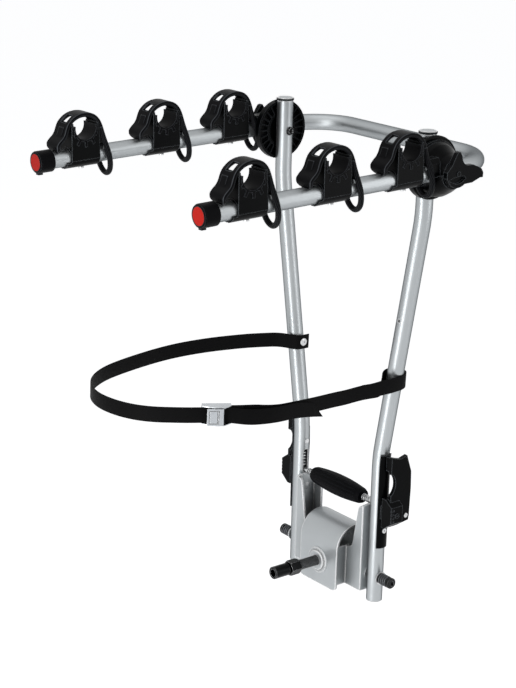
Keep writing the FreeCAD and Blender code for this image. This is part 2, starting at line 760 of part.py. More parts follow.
def hub_lever():
    """The release lever on the hub's outer face: a fin above, a finger hollow and a tip to the rear."""
    low = SHELL_END_X + GAP
    high = low + LEVER_THICK
    z = HUB_Z
    tip = LEVER_REACH
    plate = side_plate(
        [(-24.0, z - 6.0), (-24.0, z + 4.0), (-14.0, z + 14.0), (-9.0, z + 24.0), (-3.0, z + LEVER_FIN_Z - 1.5),
         (1.5, z + LEVER_FIN_Z), (6.5, z + 27.0), ((10.0, z + 17.0), (18.0, z + 12.0)), (31.5, z + 11.6),
         (tip - 4.0, z + 3.4), (tip, z - 3.4), (tip - 0.5, z - 10.5), (tip - 7.0, z - 10.6),
         (30.0, z - 16.6), (14.0, z - 17.3), ((0.0, z - 22.0), (-16.0, z - 17.0))],
        low, high,
    )
    hollow = side_plate(
        [(-20.0, z - 9.0), ((-4.0, z - 4.8), (12.0, z - 4.6)), (16.0, z - 8.0), ((4.0, z - 14.8), (-9.0, z - 14.0))],
        high - LEVER_HOLLOW, high + 1,
    )
    catch = side_plate(
        [(tip - 13.0, z + 8.0), (tip - 4.0, z + 3.4), (tip, z - 3.4), (tip - 0.5, z - 10.5), (tip - 13.0, z - 10.5)],
        high - LEVER_TIP_DEPTH, high,
    )
    lever = plate.cut(hollow).fuse(catch)
    return lever.cut(cylinder(LEVER_PIN_R + FIT, (low - 1, 0, HUB_Z), (high + 1, 0, HUB_Z)))


def hub_pin():
    """The pin that carries the lever, with its washer head and its foot in the shell."""
    low = SHELL_END_X
    high = low + GAP + LEVER_THICK
    foot_r = HUB_NUT_R + 1.0
    foot = cylinder(foot_r, (low - 2.4, 0, HUB_Z), (low, 0, HUB_Z))
    pin = cylinder(LEVER_PIN_R, (low, 0, HUB_Z), (high + GAP, 0, HUB_Z))
    head = cylinder(LEVER_PIN_R + 1.2, (high + GAP, 0, HUB_Z), (high + GAP + 1.0, 0, HUB_Z))
    return foot.fuse([pin, head])


def hood():
    """The arched middle of the housing, open below."""
    out = HOOD_HALF_DEPTH
    inn = out - HOUSING_WALL
    shell = side_plate(
        [(-out, HOOD_FOOT_Z), (-out, HOOD_ARCH_Z), ((0.0, HOOD_ARCH_Z + out), (out, HOOD_ARCH_Z)),
         (out, HOOD_FOOT_Z), (inn, HOOD_FOOT_Z), (inn, HOOD_ARCH_Z),
         ((0.0, HOOD_ARCH_Z + inn), (-inn, HOOD_ARCH_Z)), (-inn, HOOD_FOOT_Z)],
        -HOOD_HALF_WIDTH, HOOD_HALF_WIDTH,
    )
    low = HOOD_FOOT_Z + HOOD_CORNER_R
    side = HOOD_HALF_WIDTH - HOOD_CORNER_R
    corner = block((side, HOOD_HALF_WIDTH + 1), (-out - 1, out + 1), (HOOD_FOOT_Z - 1, low))
    corner = corner.cut(cylinder(HOOD_CORNER_R, (side, -out - 2, low), (side, out + 2, low)))
    return shell.cut([corner, mirrored(corner)])


def flange(front):
    """A channel's front or rear flange, tapered towards its top."""
    out = CHANNEL_OUT
    base = out - FLANGE_REACH
    if front:
        top_z = math.sqrt((REST_R - 2.0) ** 2 - CHANNEL_HALF_DEPTH ** 2) - 1.0
        mid = out - FLANGE_MIDDLE_REACH
        points = [
            (out, CHANNEL_FOOT_Z), (base, CHANNEL_FOOT_Z), (base, CHEEK_TOP_Z - 2.0), (base + 9.0, CHEEK_TOP_Z),
            (mid - 5.0, CHEEK_TOP_Z + 3.0), (mid - 1.5, CHEEK_TOP_Z + 8.0), (mid, CHEEK_TOP_Z + 16.0),
            (out - FLANGE_TOP_REACH, top_z - 4.0), (out - FLANGE_TOP_REACH + 3.5, top_z), (out, top_z),
        ]
        return front_plate(points, -CHANNEL_HALF_DEPTH, -CHANNEL_HALF_DEPTH + HOUSING_WALL)
    edge = out - REAR_FLANGE_REACH
    points = [
        (out, CHANNEL_FOOT_Z), (base, CHANNEL_FOOT_Z), (base, CHEEK_TOP_Z), (edge - 3.0, CHEEK_TOP_Z + 2.0),
        (edge, CHEEK_TOP_Z + 8.0), (edge, CHEEK_TOP_Z + 62.0), (edge + 4.0, CHEEK_TOP_Z + 68.0),
        (out, CHEEK_TOP_Z + 70.0),
    ]
    return front_plate(points, CHANNEL_HALF_DEPTH - HOUSING_WALL, CHANNEL_HALF_DEPTH)


def channel():
    """One side channel: the side plate that carries the rod and the pivot, with two flanges."""
    front_z = math.sqrt(REST_R ** 2 - CHANNEL_HALF_DEPTH ** 2)
    mid_z = math.sqrt(REST_R ** 2 - (CHANNEL_HALF_DEPTH / 2) ** 2)
    d = CHANNEL_HALF_DEPTH
    plate = side_plate(
        [(-d, CHANNEL_FOOT_Z), (-d, front_z), ((-d / 2, mid_z), (0.0, REST_R)), (5.0, REST_R),
         (8.0, REST_R - 7.0), (14.0, REST_R - 9.0), (d, REST_R - 16.0), (d, CHANNEL_FOOT_Z)],
        CHANNEL_IN, CHANNEL_OUT,
    )
    dimple = turned(
        [(CHANNEL_IN, 0), (CHANNEL_IN, DIMPLE_R), (CHANNEL_IN - DIMPLE / 2, DIMPLE_R - 0.5),
         (CHANNEL_IN - DIMPLE, DIMPLE_R - 2.5), (CHANNEL_IN - DIMPLE, 0)],
        (0, 0, DIMPLE_Z), (1, 0, 0),
    )
    return plate.fuse([flange(True), flange(False), dimple])


def cheeks():
    """The hood's side walls between its faces and the flanges, on one side."""
    low = HOOD_HALF_WIDTH - HOUSING_WALL
    out = HOOD_HALF_DEPTH - HOUSING_WALL
    inn = CHANNEL_HALF_DEPTH - HOUSING_WALL
    z = (CHANNEL_FOOT_Z, CHEEK_TOP_Z)
    x = (low, HOOD_HALF_WIDTH)
    return [block(x, (-out, -inn), z), block(x, (inn, out), z)]


def base_housing():
    """The pressed and welded steel housing over the tow ball."""
    right = channel().fuse(cheeks())
    body = hood().fuse([right, mirrored(right)])
    wall = (-HOOD_HALF_DEPTH - 1, -HOOD_HALF_DEPTH + HOUSING_WALL + 1)
    body = body.cut(cylinder(BOSS_HUB_R, (0, wall[0], SPINDLE_Z), (0, wall[1], SPINDLE_Z)))
    reach = CHANNEL_OUT + 1
    return body.cut(cylinder(PIVOT_R, (-reach, 0, 0), (reach, 0, 0))).removeSplitter()


def ball_seat():
    """The fixed half of the ball clamp, with a roof that takes the ball's load."""
    back = HOOD_HALF_DEPTH - HOUSING_WALL
    wide = SEAT_HALF_WIDTH
    high = BALL_BORE_R
    seat = block((-wide, wide), (SPLIT_GAP, back), (-SEAT_FOOT, high))
    seat = seat.fuse(block((-wide, wide), (SEAT_ROOF_FRONT, back), (high, high + SEAT_ROOF)))
    return seat.cut(cylinder(BALL_BORE_R, (0, 0, -SEAT_FOOT - 1), (0, 0, high)))


def clamp_jaw():
    """The moving half of the ball clamp, pushed by the spindle's tip."""
    z = JAW_HALF_HEIGHT
    jaw = block((-JAW_HALF_WIDTH, JAW_HALF_WIDTH), (JAW_Y, -SPLIT_GAP), (-z, z))
    jaw = jaw.cut(cylinder(BALL_BORE_R, (0, 0, -z - 1), (0, 0, z + 1)))
    return jaw.cut(cylinder(TIP_PIN_R + FIT, (0, JAW_Y - 1, SPINDLE_Z), (0, JAW_Y + TIP_PIN, SPINDLE_Z)))


def threaded_boss():
    """The welded nut in the hood's front wall that the spindle runs in."""
    face = -HOOD_HALF_DEPTH
    inner = face + HOUSING_WALL + BOSS_HUB
    boss = turned(
        [(BOSS_FACE_Y, 0), (BOSS_FACE_Y, BOSS_STEP_R - 1.2), (BOSS_FACE_Y + 1.2, BOSS_STEP_R),
         (face - BOSS_PLATE, BOSS_STEP_R), (face - BOSS_PLATE, BOSS_R - 0.8), (face - BOSS_PLATE + 0.8, BOSS_R),
         (face, BOSS_R), (face, BOSS_HUB_R), (inner, BOSS_HUB_R), (inner, 0)],
        (0, 0, SPINDLE_Z), (0, 1, 0),
    )
    return boss.cut(cylinder(SPINDLE_R + FIT, (0, BOSS_FACE_Y - 1, SPINDLE_Z), (0, inner + 1, SPINDLE_Z)))


def spindle_screw():
    """The clamp spindle: tip pin, threaded shank, and a drive end with a socket."""
    tip = JAW_Y + TIP_PIN - GAP
    shoulder = JAW_Y - GAP
    thread_end = HEX_Y + 1
    drive_y = HEX_Y - HEX_LENGTH - NECK
    end = drive_y - DRIVE_LENGTH
    root = SPINDLE_R - THREAD_DEPTH
    profile = [(tip, 0), (tip, TIP_PIN_R), (shoulder, TIP_PIN_R), (shoulder, SPINDLE_R)]
    y = BOSS_FACE_Y
    while y - THREAD_PITCH > thread_end:
        profile += [(y, SPINDLE_R), (y - THREAD_PITCH / 2, root)]
        y -= THREAD_PITCH
    profile += [
        (y, SPINDLE_R), (drive_y, SPINDLE_R), (drive_y, DRIVE_R - 1), (drive_y - 1, DRIVE_R),
        (end + 1, DRIVE_R), (end, DRIVE_R - 1), (end, 0),
    ]
    screw = turned(profile, (0, 0, SPINDLE_Z), (0, 1, 0))
    return screw.cut(cylinder(DRIVE_SOCKET_R, (0, end - 1, SPINDLE_Z), (0, end + DRIVE_SOCKET, SPINDLE_Z)))


def spindle_collar():
    """The hexagon locked on the spindle, chamfered at both ends."""
    corner = HEX_FLATS / 2 / math.cos(math.radians(30))
    low = HEX_Y - HEX_LENGTH
    collar = hexagon(corner, (0, low, SPINDLE_Z), HEX_LENGTH, "Y")
    cone = turned(
        [(low, 0), (low, corner - 1.6), (low + 1.6, corner), (HEX_Y - 1.6, corner), (HEX_Y, corner - 1.6), (HEX_Y, 0)],
        (0, 0, SPINDLE_Z), (0, 1, 0),
    )
    collar = collar.common(cone)
    return collar.cut(cylinder(SPINDLE_R, (0, low - 1, SPINDLE_Z), (0, HEX_Y + 1, SPINDLE_Z)))


def pivot_bolt():
    """The tilt pivot on one side, headed inside the channel."""
    end = POST_OUTER_FACE + GAP + PIVOT_WASHER + PIVOT_SPRING + PIVOT_NUT / 2
    shaft = cylinder(PIVOT_R, (CHANNEL_IN - PIVOT_HEAD, 0, 0), (end, 0, 0))
    return shaft.fuse(hexagon(PIVOT_HEAD_R, (CHANNEL_IN - PIVOT_HEAD, 0, 0), PIVOT_HEAD, "X"))


def ring(outer, inner, low, high):
    return cylinder(outer, (low, 0, 0), (high, 0, 0)).cut(cylinder(inner, (low - 1, 0, 0), (high + 1, 0, 0)))


def pivot_washers():
    """The spacer washer inside the post and the spring washer outside it."""
    outer_x = POST_OUTER_FACE + GAP
    return [
        ring(PIVOT_WASHER_R, PIVOT_R, CHANNEL_OUT, CHANNEL_OUT + PIVOT_WASHER),
        ring(PIVOT_WASHER_R, PIVOT_R, outer_x, outer_x + PIVOT_WASHER),
    ]


def pivot_spring():
    start = POST_OUTER_FACE + GAP + PIVOT_WASHER + 0.1
    return coil(
        "pivot spring", (start, 0, 0), (1, 0, 0), (0, 1, 0), PIVOT_SPRING_R, PIVOT_WIRE_R,
        PIVOT_SPRING - 0.2, PIVOT_TURNS,
    )


def pivot_nut():
    low = POST_OUTER_FACE + GAP + PIVOT_WASHER + PIVOT_SPRING
    high = low + PIVOT_NUT
    nut = turned(
        [(low, PIVOT_R), (low, PIVOT_NUT_R), (high - 2, PIVOT_NUT_R), (high, PIVOT_NUT_R - 2), (high, 0),
         (low + PIVOT_NUT / 2, 0), (low + PIVOT_NUT / 2, PIVOT_R)],
        (0, 0, 0), (1, 0, 0),
    )
    return nut.cut(cylinder(PIVOT_SOCKET_R, (high - 3, 0, 0), (high + 1, 0, 0)))


def handle_rod():
    end = POST_FOOT_X + TUBE_R - TUBE_WALL - ROD_END
    return cylinder(ROD_R, (-end, 0, ROD_Z), (end, 0, ROD_Z))


def handle_grip():
    """The barrel grip on the rod, thickest in the middle, with shallow flutes along it."""
    half = GRIP_HALF
    shoulder = half - GRIP_SHOULDER
    wire = outline([
        (-half, 0, ROD_Z + ROD_R), (-half, 0, ROD_Z + GRIP_END_R - 1.5), (-shoulder, 0, ROD_Z + GRIP_END_R + 0.6),
        ((0, 0, ROD_Z + GRIP_MID_R), (shoulder, 0, ROD_Z + GRIP_END_R + 0.6)),
        (half, 0, ROD_Z + GRIP_END_R - 1.5), (half, 0, ROD_Z + ROD_R),
    ])
    grip = Part.Face(wire).revolve(V(0, 0, ROD_Z), V(1, 0, 0), 360)
    low = shoulder - GRIP_SHOULDER
    crown = outline([
        (-low, 0, ROD_Z + GRIP_END_R + 1.0 - GRIP_FLUTE_DEEP),
        ((0, 0, ROD_Z + GRIP_MID_R - GRIP_FLUTE_DEEP), (low, 0, ROD_Z + GRIP_END_R + 1.0 - GRIP_FLUTE_DEEP)),
        (low, 0, ROD_Z + GRIP_MID_R + 2.0), (-low, 0, ROD_Z + GRIP_MID_R + 2.0),
    ])
    flute = Part.Face(crown).extrude(V(0, GRIP_FLUTE_WIDE, 0))
    flute.translate(V(0, -GRIP_FLUTE_WIDE / 2, 0))
    flutes = []
    for i in range(GRIP_FLUTES):
        copy = flute.copy()
        copy.rotate(V(0, 0, ROD_Z), V(1, 0, 0), 360 * i / GRIP_FLUTES)
        flutes.append(copy)
    return grip.cut(flutes)


def end_spring():
    """The spring on the rod between the grip and the side plate."""
    start = GRIP_HALF + 0.2
    return coil(
        "handle end spring", (start, 0, ROD_Z), (1, 0, 0), (0, 1, 0), END_SPRING_R, END_WIRE_R,
        CHANNEL_IN - GAP - start, END_TURNS,
    )


def slot_spring():
    """The spring inside the post that presses the rod down on the side plates."""
    start = ROD_Z + ROD_R + GAP
    return coil(
        "slot spring", (POST_FOOT_X, 0, start), (0, 0, 1), (1, 0, 0), SLOT_SPRING_R, SLOT_WIRE_R,
        SPRING_PIN_Z - SPRING_PIN_R - GAP - start, SLOT_TURNS,
    )


def spring_pin():
    """The rivet that the spring in the post ends at."""
    face = POST_INNER_FACE
    end = POST_FOOT_X + TUBE_R - TUBE_WALL - 2
    shank = cylinder(SPRING_PIN_R, (face, 0, SPRING_PIN_Z), (end, 0, SPRING_PIN_Z))
    head = cylinder(SPRING_PIN_HEAD_R, (face - SPRING_PIN_HEAD, 0, SPRING_PIN_Z), (face, 0, SPRING_PIN_Z))
    return shank.fuse(head)


def bracket():
    """The plastic saddle on the outside of the post that carries the lamp board lever."""
    low_r = TUBE_R
    high_r = TUBE_R + BRACKET_THICK
    wrap = math.radians(BRACKET_WRAP)

    def spot(radius, angle):
        return (POST_FOOT_X + radius * math.cos(angle), radius * math.sin(angle), POST_FOOT_Z)

    section = outline([
        spot(low_r, -wrap), (spot(low_r, 0), spot(low_r, wrap)), spot(high_r, wrap),
        (spot(high_r, 0), spot(high_r, -wrap)),
    ])
    route = bent_route(POST_ROUTE, [POST_BEND_R, POST_BEND_R])
    saddle = swept(route.Edges, section)
    saddle = saddle.common(block((0, 300), (-60, 60), (BRACKET_LOW_Z, BRACKET_HIGH_Z)))
    face = POST_OUTER_FACE + BRACKET_THICK
    pad = block((face - 3, LEVER_FACE_X - GAP), (DRUM_FRONT_Y + 1, DRUM_Y + 5), (DRUM_Z - 12, DRUM_Z + 12))
    saddle = saddle.fuse(pad.cut(cylinder(TUBE_R, (POST_FOOT_X, 0, 0), (POST_FOOT_X, 0, 200))))
    hole_x = (POST_FOOT_X, face + 3)
    saddle = saddle.cut(cylinder(BRACKET_RIVET_R, (hole_x[0], 0, BRACKET_RIVET_Z), (hole_x[1], 0, BRACKET_RIVET_Z)))
    return saddle


def bracket_pivot():
    """The screw that the lever turns on, from the saddle out through the lever's block."""
    low = LEVER_FACE_X - GAP
    high = LEVER_FACE_X + DRUM_WIDTH + GAP
    pin = cylinder(DRUM_PIN_R, (low, DRUM_Y, DRUM_Z), (high, DRUM_Y, DRUM_Z))
    head = cylinder(DRUM_PIN_R + 0.8, (high, DRUM_Y, DRUM_Z), (high + 1.4, DRUM_Y, DRUM_Z))
    slot = block((high + 0.6, high + 2), (DRUM_Y - 5, DRUM_Y + 5), (DRUM_Z - 0.7, DRUM_Z + 0.7))
    return pin.fuse(head).cut(slot)


def bracket_rivet():
    face = POST_OUTER_FACE + BRACKET_THICK
    shank = cylinder(BRACKET_RIVET_R, (POST_OUTER_FACE - 1.8, 0, BRACKET_RIVET_Z), (face, 0, BRACKET_RIVET_Z))
    head = cylinder(BRACKET_RIVET_HEAD_R, (face, 0, BRACKET_RIVET_Z), (face + 1.4, 0, BRACKET_RIVET_Z))
    return shank.fuse(head).cut(cylinder(1.4, (face - 3, 0, BRACKET_RIVET_Z), (face + 2, 0, BRACKET_RIVET_Z)))


def board_lever():
    """The lever that holds a lamp board: a ridged block below and a tall plate with a finger window."""
    low = LEVER_FACE_X
    high = low + DRUM_WIDTH
    slope = DRUM_HALF_HIGH - DRUM_FACE_HALF
    core = front_plate(
        [(low, DRUM_Z - DRUM_HALF_HIGH), (low + 7, DRUM_Z - DRUM_HALF_HIGH), (high, DRUM_Z - DRUM_FACE_HALF + 2),
         (high, DRUM_Z + DRUM_FACE_HALF), (low + 9, DRUM_Z + DRUM_HALF_HIGH), (low, DRUM_Z + DRUM_HALF_HIGH)],
        DRUM_FRONT_Y, DRUM_BACK_Y,
    )
    for i in range(DRUM_NOTCHES):
        z = DRUM_Z + (i - (DRUM_NOTCHES - 1) / 2) * 0.6 * slope
        core = core.cut(cylinder(1.4, (high + 0.5, DRUM_FRONT_Y - 1, z), (high + 0.5, DRUM_FRONT_Y + 7, z)))
    front = DRUM_FRONT_Y + 6
    back = FIN_BACK_Y
    fin_low = low + FIN_OFFSET
    fin = side_plate(
        [(front, DRUM_Z - 21.0), (14.0, DRUM_Z - 21.5), (back - 3.0, DRUM_Z - 18.0), (back - 1.5, DRUM_Z - 10.0),
         (back, FIN_WINDOW_LOW_Z + 6), (back - 1.0, FIN_WINDOW_HIGH_Z - 2.0), (30.0, FIN_TOP_Z), (16.0, FIN_TOP_Z - 4.0),
         (8.0, FIN_TOP_Z - 2.0), (-4.0, FIN_TOP_Z + 2.0), (-4.0, FIN_WINDOW_HIGH_Z), (1.0, FIN_WINDOW_HIGH_Z - 2.0),
         ((6.6, (FIN_WINDOW_LOW_Z + FIN_WINDOW_HIGH_Z) / 2), (1.0, FIN_WINDOW_LOW_Z + 3.0)),
         (front, FIN_WINDOW_LOW_Z)],
        fin_low, fin_low + FIN_THICK,
    )
    arm = side_plate(
        [(-4.0, FIN_WINDOW_HIGH_Z + 4.0), (7.0, FIN_WINDOW_HIGH_Z + 9.0), (7.0, FIN_TOP_Z - 3.0),
         (-4.0, FIN_TOP_Z)],
        low + 1, fin_low,
    )
    lever = core.fuse([fin, arm])
    return lever.cut(cylinder(DRUM_PIN_R + FIT, (low - 1, DRUM_Y, DRUM_Z), (high + 1, DRUM_Y, DRUM_Z)))


def board_screw():
    """The clamp screw in the lever's plate."""
    face = LEVER_FACE_X + FIN_OFFSET + FIN_THICK
    y = FIN_BACK_Y - 10
    z = DRUM_Z - 8
    head = cylinder(BOARD_SCREW_HEAD_R, (face, y, z), (face + BOARD_SCREW_HEAD, y, z))
    return head.cut(cylinder(1.6, (face + 0.6, y, z), (face + 3, y, z)))


def web_frame(shape):
    """Tilts a flat plan shape to the strap's slope across the rack."""
    copy = shape.copy()
    copy.rotate(V(0, 0, 0), V(0, 1, 0), WEB_TILT)
    copy.translate(V(0, 0, WEB_Z))
    return copy


def web_band(points, radii):
    """Webbing on edge along a plan route."""
    route = bent_route([(p[0], p[1], 0) for p in points], radii)
    start = V(points[0][0], points[0][1], 0)
    first = (V(points[1][0], points[1][1], 0) - start).normalize()
    across = V(-first.y, first.x, 0)
    up = V(0, 0, 1)
    half_t = WEB_THICK / 2
    half_w = WEB_WIDTH / 2
    corners = [
        start + across * (a * half_t) + up * (b * half_w) for a, b in ((-1, -1), (1, -1), (1, 1), (-1, 1))
    ]
    return swept(route.Edges, Part.makePolygon(corners + [corners[0]]))


def post_x_at(z):
    """The post's middle at a height between its bends."""
    return POST_FOOT_X + (POST_TOP_X - POST_FOOT_X) * (z - BEND_LOW_Z) / (BEND_HIGH_Z - BEND_LOW_Z)


def buckle_spot(along, out):
    """A plan point given from the buckle's middle, along the strap and outwards."""
    turn = math.radians(BUCKLE_TURN)
    x = BUCKLE_X + along * math.cos(turn) + out * math.sin(turn)
    y = BUCKLE_Y + along * math.sin(turn) - out * math.cos(turn)
    return (x, y)


def buckle_frame_of(shape):
    """Moves a buckle piece from its own frame, strap along X and outside -Y, to the strap."""
    copy = shape.copy()
    copy.rotate(V(0, 0, 0), V(0, 0, 1), BUCKLE_TURN)
    copy.translate(V(BUCKLE_X, BUCKLE_Y, 0))
    return web_frame(copy)


def on_loop(side, back):
    """A plan point of the webbing, in shares of the loop's half width and reach."""
    return (side * WEB_SIDE, -back * WEB_REACH)


def strap_long():
    """The long strap from the left post's rivet round the load, through the buckle to its tail."""
    x = -post_x_at(WEB_RIVET_Z) + TUBE_R + 3.9
    points = [
        (x, 14.0), (x, -9.0), on_loop(-0.765, 0.056), on_loop(-0.898, 0.19), on_loop(-0.984, 0.345),
        on_loop(-1.0, 0.513), on_loop(-0.909, 0.711), on_loop(-0.802, 0.853), on_loop(-0.599, 0.957),
        on_loop(-0.332, 1.0), on_loop(-0.053, 0.987), on_loop(0.182, 0.935),
        buckle_spot(-52.0, 0), buckle_spot(48.0, 0), (WEB_TAIL_X, -0.539 * WEB_REACH),
        (WEB_TAIL_X - 0.5, -0.358 * WEB_REACH),
    ]
    radii = [6.0, 30.0, 120.0, 200.0, 220.0, 240.0, 90.0, 60.0, 70.0, 70.0, 70.0, 160.0, 90.0, 150.0]
    hole = cylinder(WEB_RIVET_R, (x - 4, WEB_RIVET_Y, WEB_RIVET_Z), (x + 4, WEB_RIVET_Y, WEB_RIVET_Z))
    return web_frame(web_band(points, radii)).cut(hole)


def strap_short():
    """The short strap: sewn round the buckle's bar, looped round the right post."""
    z = WEB_Z - math.tan(math.radians(WEB_TILT)) * post_x_at(WEB_Z)
    x = post_x_at(z)
    wrap = TUBE_R + 3.6
    fold = 2.7
    near = BUCKLE_BAR_OUT + fold
    far = BUCKLE_BAR_OUT - fold
    points = [
        buckle_spot(42.0, near), buckle_spot(BUCKLE_BAR_AT - fold, near), buckle_spot(BUCKLE_BAR_AT - fold, far),
        buckle_spot(36.0, far), (WEB_TAIL_X - 8.0, -0.565 * WEB_REACH), (WEB_TAIL_X - 3.3, -0.491 * WEB_REACH),
        (WEB_TAIL_X - 3.5, -0.259 * WEB_REACH), (x + wrap, -24.0),
        (x + wrap, wrap + 0.5), (x - wrap, wrap + 0.5), (x - wrap, -16.0), (x + 8.0, -76.0),
    ]
    radii = [fold - 0.1, fold - 0.1, 60.0, 80.0, 150.0, 150.0, 90.0, 16.0, 16.0, 30.0]
    return web_frame(web_band(points, radii))


def strap_rivet():
    """The rivet that holds the strap's end to the left post."""
    x = -post_x_at(WEB_RIVET_Z) + TUBE_R
    lean = WEB_RIVET_HEAD_R * math.sin(math.radians(WEB_TILT))
    head = x + 3.9 + WEB_THICK / 2 + GAP + lean
    return turned(
        [(x - 6, 0), (x - 6, WEB_RIVET_R), (head, WEB_RIVET_R), (head, WEB_RIVET_HEAD_R),
         (head + 0.8, WEB_RIVET_HEAD_R - 0.6), (head + 1.4, WEB_RIVET_HEAD_R - 2.4),
         (head + 1.4, WEB_RIVET_EYE_R), (head, WEB_RIVET_EYE_R - 0.4), (head, 0)],
        (0, WEB_RIVET_Y, WEB_RIVET_Z), (1, 0, 0),
    )


def buckle_frame():
    """The bent sheet frame of the cam buckle, with its bars and the cam's pin."""
    back = BUCKLE_BACK + BUCKLE_SHEET
    half = BUCKLE_HALF_LENGTH
    base = block((-half, half), (BUCKLE_BACK, back), (-BUCKLE_HALF, BUCKLE_HALF))
    walls = []
    for side in (-1, 1):
        z = sorted((side * BUCKLE_HALF, side * (BUCKLE_HALF - BUCKLE_SHEET)))
        wall = Part.Face(outline([
            (-half, back, z[0]), (-half, -1.0, z[0]), (-4.0, -9.0, z[0]),
            (12.0, -9.0, z[0]), (half, 1.0, z[0]), (half, back, z[0]),
        ])).extrude(V(0, 0, BUCKLE_SHEET))
        walls.append(wall)
    reach = BUCKLE_HALF - 0.5
    bars = [
        cylinder(BUCKLE_BAR_R, (BUCKLE_BAR_AT, -BUCKLE_BAR_OUT, -reach), (BUCKLE_BAR_AT, -BUCKLE_BAR_OUT, reach)),
        cylinder(BUCKLE_BAR_R, (-17.0, 3.2, -reach), (-17.0, 3.2, reach)),
        cylinder(CAM_PIN_R, (CAM_AT, -CAM_OUT, -reach), (CAM_AT, -CAM_OUT, reach)),
    ]
    return buckle_frame_of(base.fuse(walls + bars))


def buckle_lever():
    """The cam lever that presses on the strap, folded down over it."""
    reach = BUCKLE_HALF - BUCKLE_SHEET - GAP
    cam = cylinder(CAM_R, (CAM_AT, -CAM_OUT, -reach), (CAM_AT, -CAM_OUT, reach))
    face = -CAM_OUT - CAM_R
    tip = CAM_AT - CAM_LENGTH
    plate = block((tip, CAM_AT), (face, face + CAM_PLATE), (-reach, reach))
    grooves = []
    for left, right, inset in ((tip + 3.0, CAM_AT - 3.0, 2.6), (CAM_AT - 6.5, CAM_AT - 5.0, 4.6)):
        edge = reach - inset
        grooves.append(block((left, right), (face - 1, face + CAM_GROOVE), (-edge, edge)))
    edge = reach - 3.8
    panel = block((tip + 4.2, CAM_AT - 4.2), (face - 2, face + CAM_GROOVE), (-edge, edge))
    pressed = grooves[0].cut(panel).fuse(grooves[1])
    lever = cam.fuse(plate.cut(pressed))
    return buckle_frame_of(
        lever.cut(cylinder(CAM_PIN_R + FIT, (CAM_AT, -CAM_OUT, -reach - 1), (CAM_AT, -CAM_OUT, reach + 1)))
    )


def build():
    os.makedirs("parts", exist_ok=True)
    save("base_housing", base_housing())
    save("ball_seat", ball_seat())
    save("threaded_boss", threaded_boss())
    save("clamp_jaw", clamp_jaw())
    save("spindle_screw", spindle_screw())
    save("spindle_collar", spindle_collar())
    save_both("pivot_bolts", [pivot_bolt()])
    save_both("pivot_springs", [pivot_spring()])
    save_both("pivot_washers", pivot_washers())
    save_both("pivot_nuts", [pivot_nut()])
    save("post_right", right_post())
    save("post_left", left_post())
    save_both("post_caps", [post_cap()])
    save_both("post_discs", [post_disc()])
    save_both("slot_springs", [slot_spring()])
    save_both("spring_pins", [spring_pin()])
    save("handle_rod", handle_rod())
    save("handle_grip", handle_grip())
    save_both("handle_end_springs", [end_spring()])
    save_both("lamp_brackets", [bracket()])
    save_both("lamp_bracket_pivots", [bracket_pivot()])
    save_both("lamp_bracket_rivets", [bracket_rivet()])
    save_pair("lamp_lever", board_lever())
    save_pair("lamp_screw", board_screw())
    save_both("hub_discs", [hub_disc()])
    save_both("hub_bolts", [hub_bolt()])
    save_both("hub_nuts", [hub_nut()])
    save_pair("hub_shell", hub_shell())
    save_pair("hub_lever", hub_lever())
    save_both("hub_pins", [hub_pin()])
    save("arm_bow", arm_bow())
    save_both("arm_caps", [arm_cap()])
    save_both("red_discs", [red_disc()])
    body = cradle()
    lining = cradle_insert_blank(0.5)
    band = cradle_strap()
    for i, y in enumerate(CRADLES, 1):
        save_pair(f"cradle_{i}", at_cradle(body, y))
        save_pair(f"cradle_strap_{i}", at_cradle(band, y))
    linings = [at_cradle(lining, y) for y in CRADLES]
    save("cradle_inserts_right", group(linings))
    save("cradle_inserts_left", group([mirrored(s) for s in linings]))
    loops = [at_cradle(strap_loop(), y) for y in CRADLES]
    save("strap_loops_right", group(loops))
    save("strap_loops_left", group([mirrored(s) for s in loops]))
    save_both("cradle_screws", [at_cradle(cradle_screw(), y) for y in CRADLES])
    save("webbing_long", strap_long())
    save("webbing_short", strap_short())
    save("strap_rivet", strap_rivet())
    save("buckle_frame", buckle_frame())
    save("buckle_lever", buckle_lever())


build()
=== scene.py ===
import math

import bmesh
import bpy
from bpy.props import FloatProperty, FloatVectorProperty, PointerProperty
from mathutils import Matrix, Vector


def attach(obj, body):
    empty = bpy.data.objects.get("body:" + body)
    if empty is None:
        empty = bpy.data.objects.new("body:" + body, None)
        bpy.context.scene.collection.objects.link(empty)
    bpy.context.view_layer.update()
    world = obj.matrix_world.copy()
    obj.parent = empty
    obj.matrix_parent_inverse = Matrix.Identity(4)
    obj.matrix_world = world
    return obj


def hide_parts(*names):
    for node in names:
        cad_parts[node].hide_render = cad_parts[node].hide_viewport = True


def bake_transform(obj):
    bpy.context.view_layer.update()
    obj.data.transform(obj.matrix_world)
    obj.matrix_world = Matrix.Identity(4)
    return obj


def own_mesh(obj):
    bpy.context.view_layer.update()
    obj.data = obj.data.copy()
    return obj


bl_info = {
    "name": "Tow-bar Bike Rack",
    "version": (1, 0, 0),
    "blender": (4, 5, 0),
    "location": "View3D > Sidebar > Bike Rack",
    "description": "Finishes, rubber straps, webbing and studio for a tow-bar bike rack",
    "category": "Object",
}

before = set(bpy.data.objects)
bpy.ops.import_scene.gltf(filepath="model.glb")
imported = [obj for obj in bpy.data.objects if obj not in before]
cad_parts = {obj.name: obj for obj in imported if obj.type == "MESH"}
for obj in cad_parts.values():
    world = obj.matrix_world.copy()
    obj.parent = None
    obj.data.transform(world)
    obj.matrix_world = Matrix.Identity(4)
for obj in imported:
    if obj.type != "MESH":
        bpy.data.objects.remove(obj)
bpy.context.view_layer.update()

MM = 0.001
SIDES = (("right", 1), ("left", -1))

# Places of the rack that the new pieces hang from, in millimetres
HUB_Z = 730.0
ARM_X = 218.2
ARM_DROOP = 1.7
CRADLE_Y = (-389.0, -231.0, -86.0)

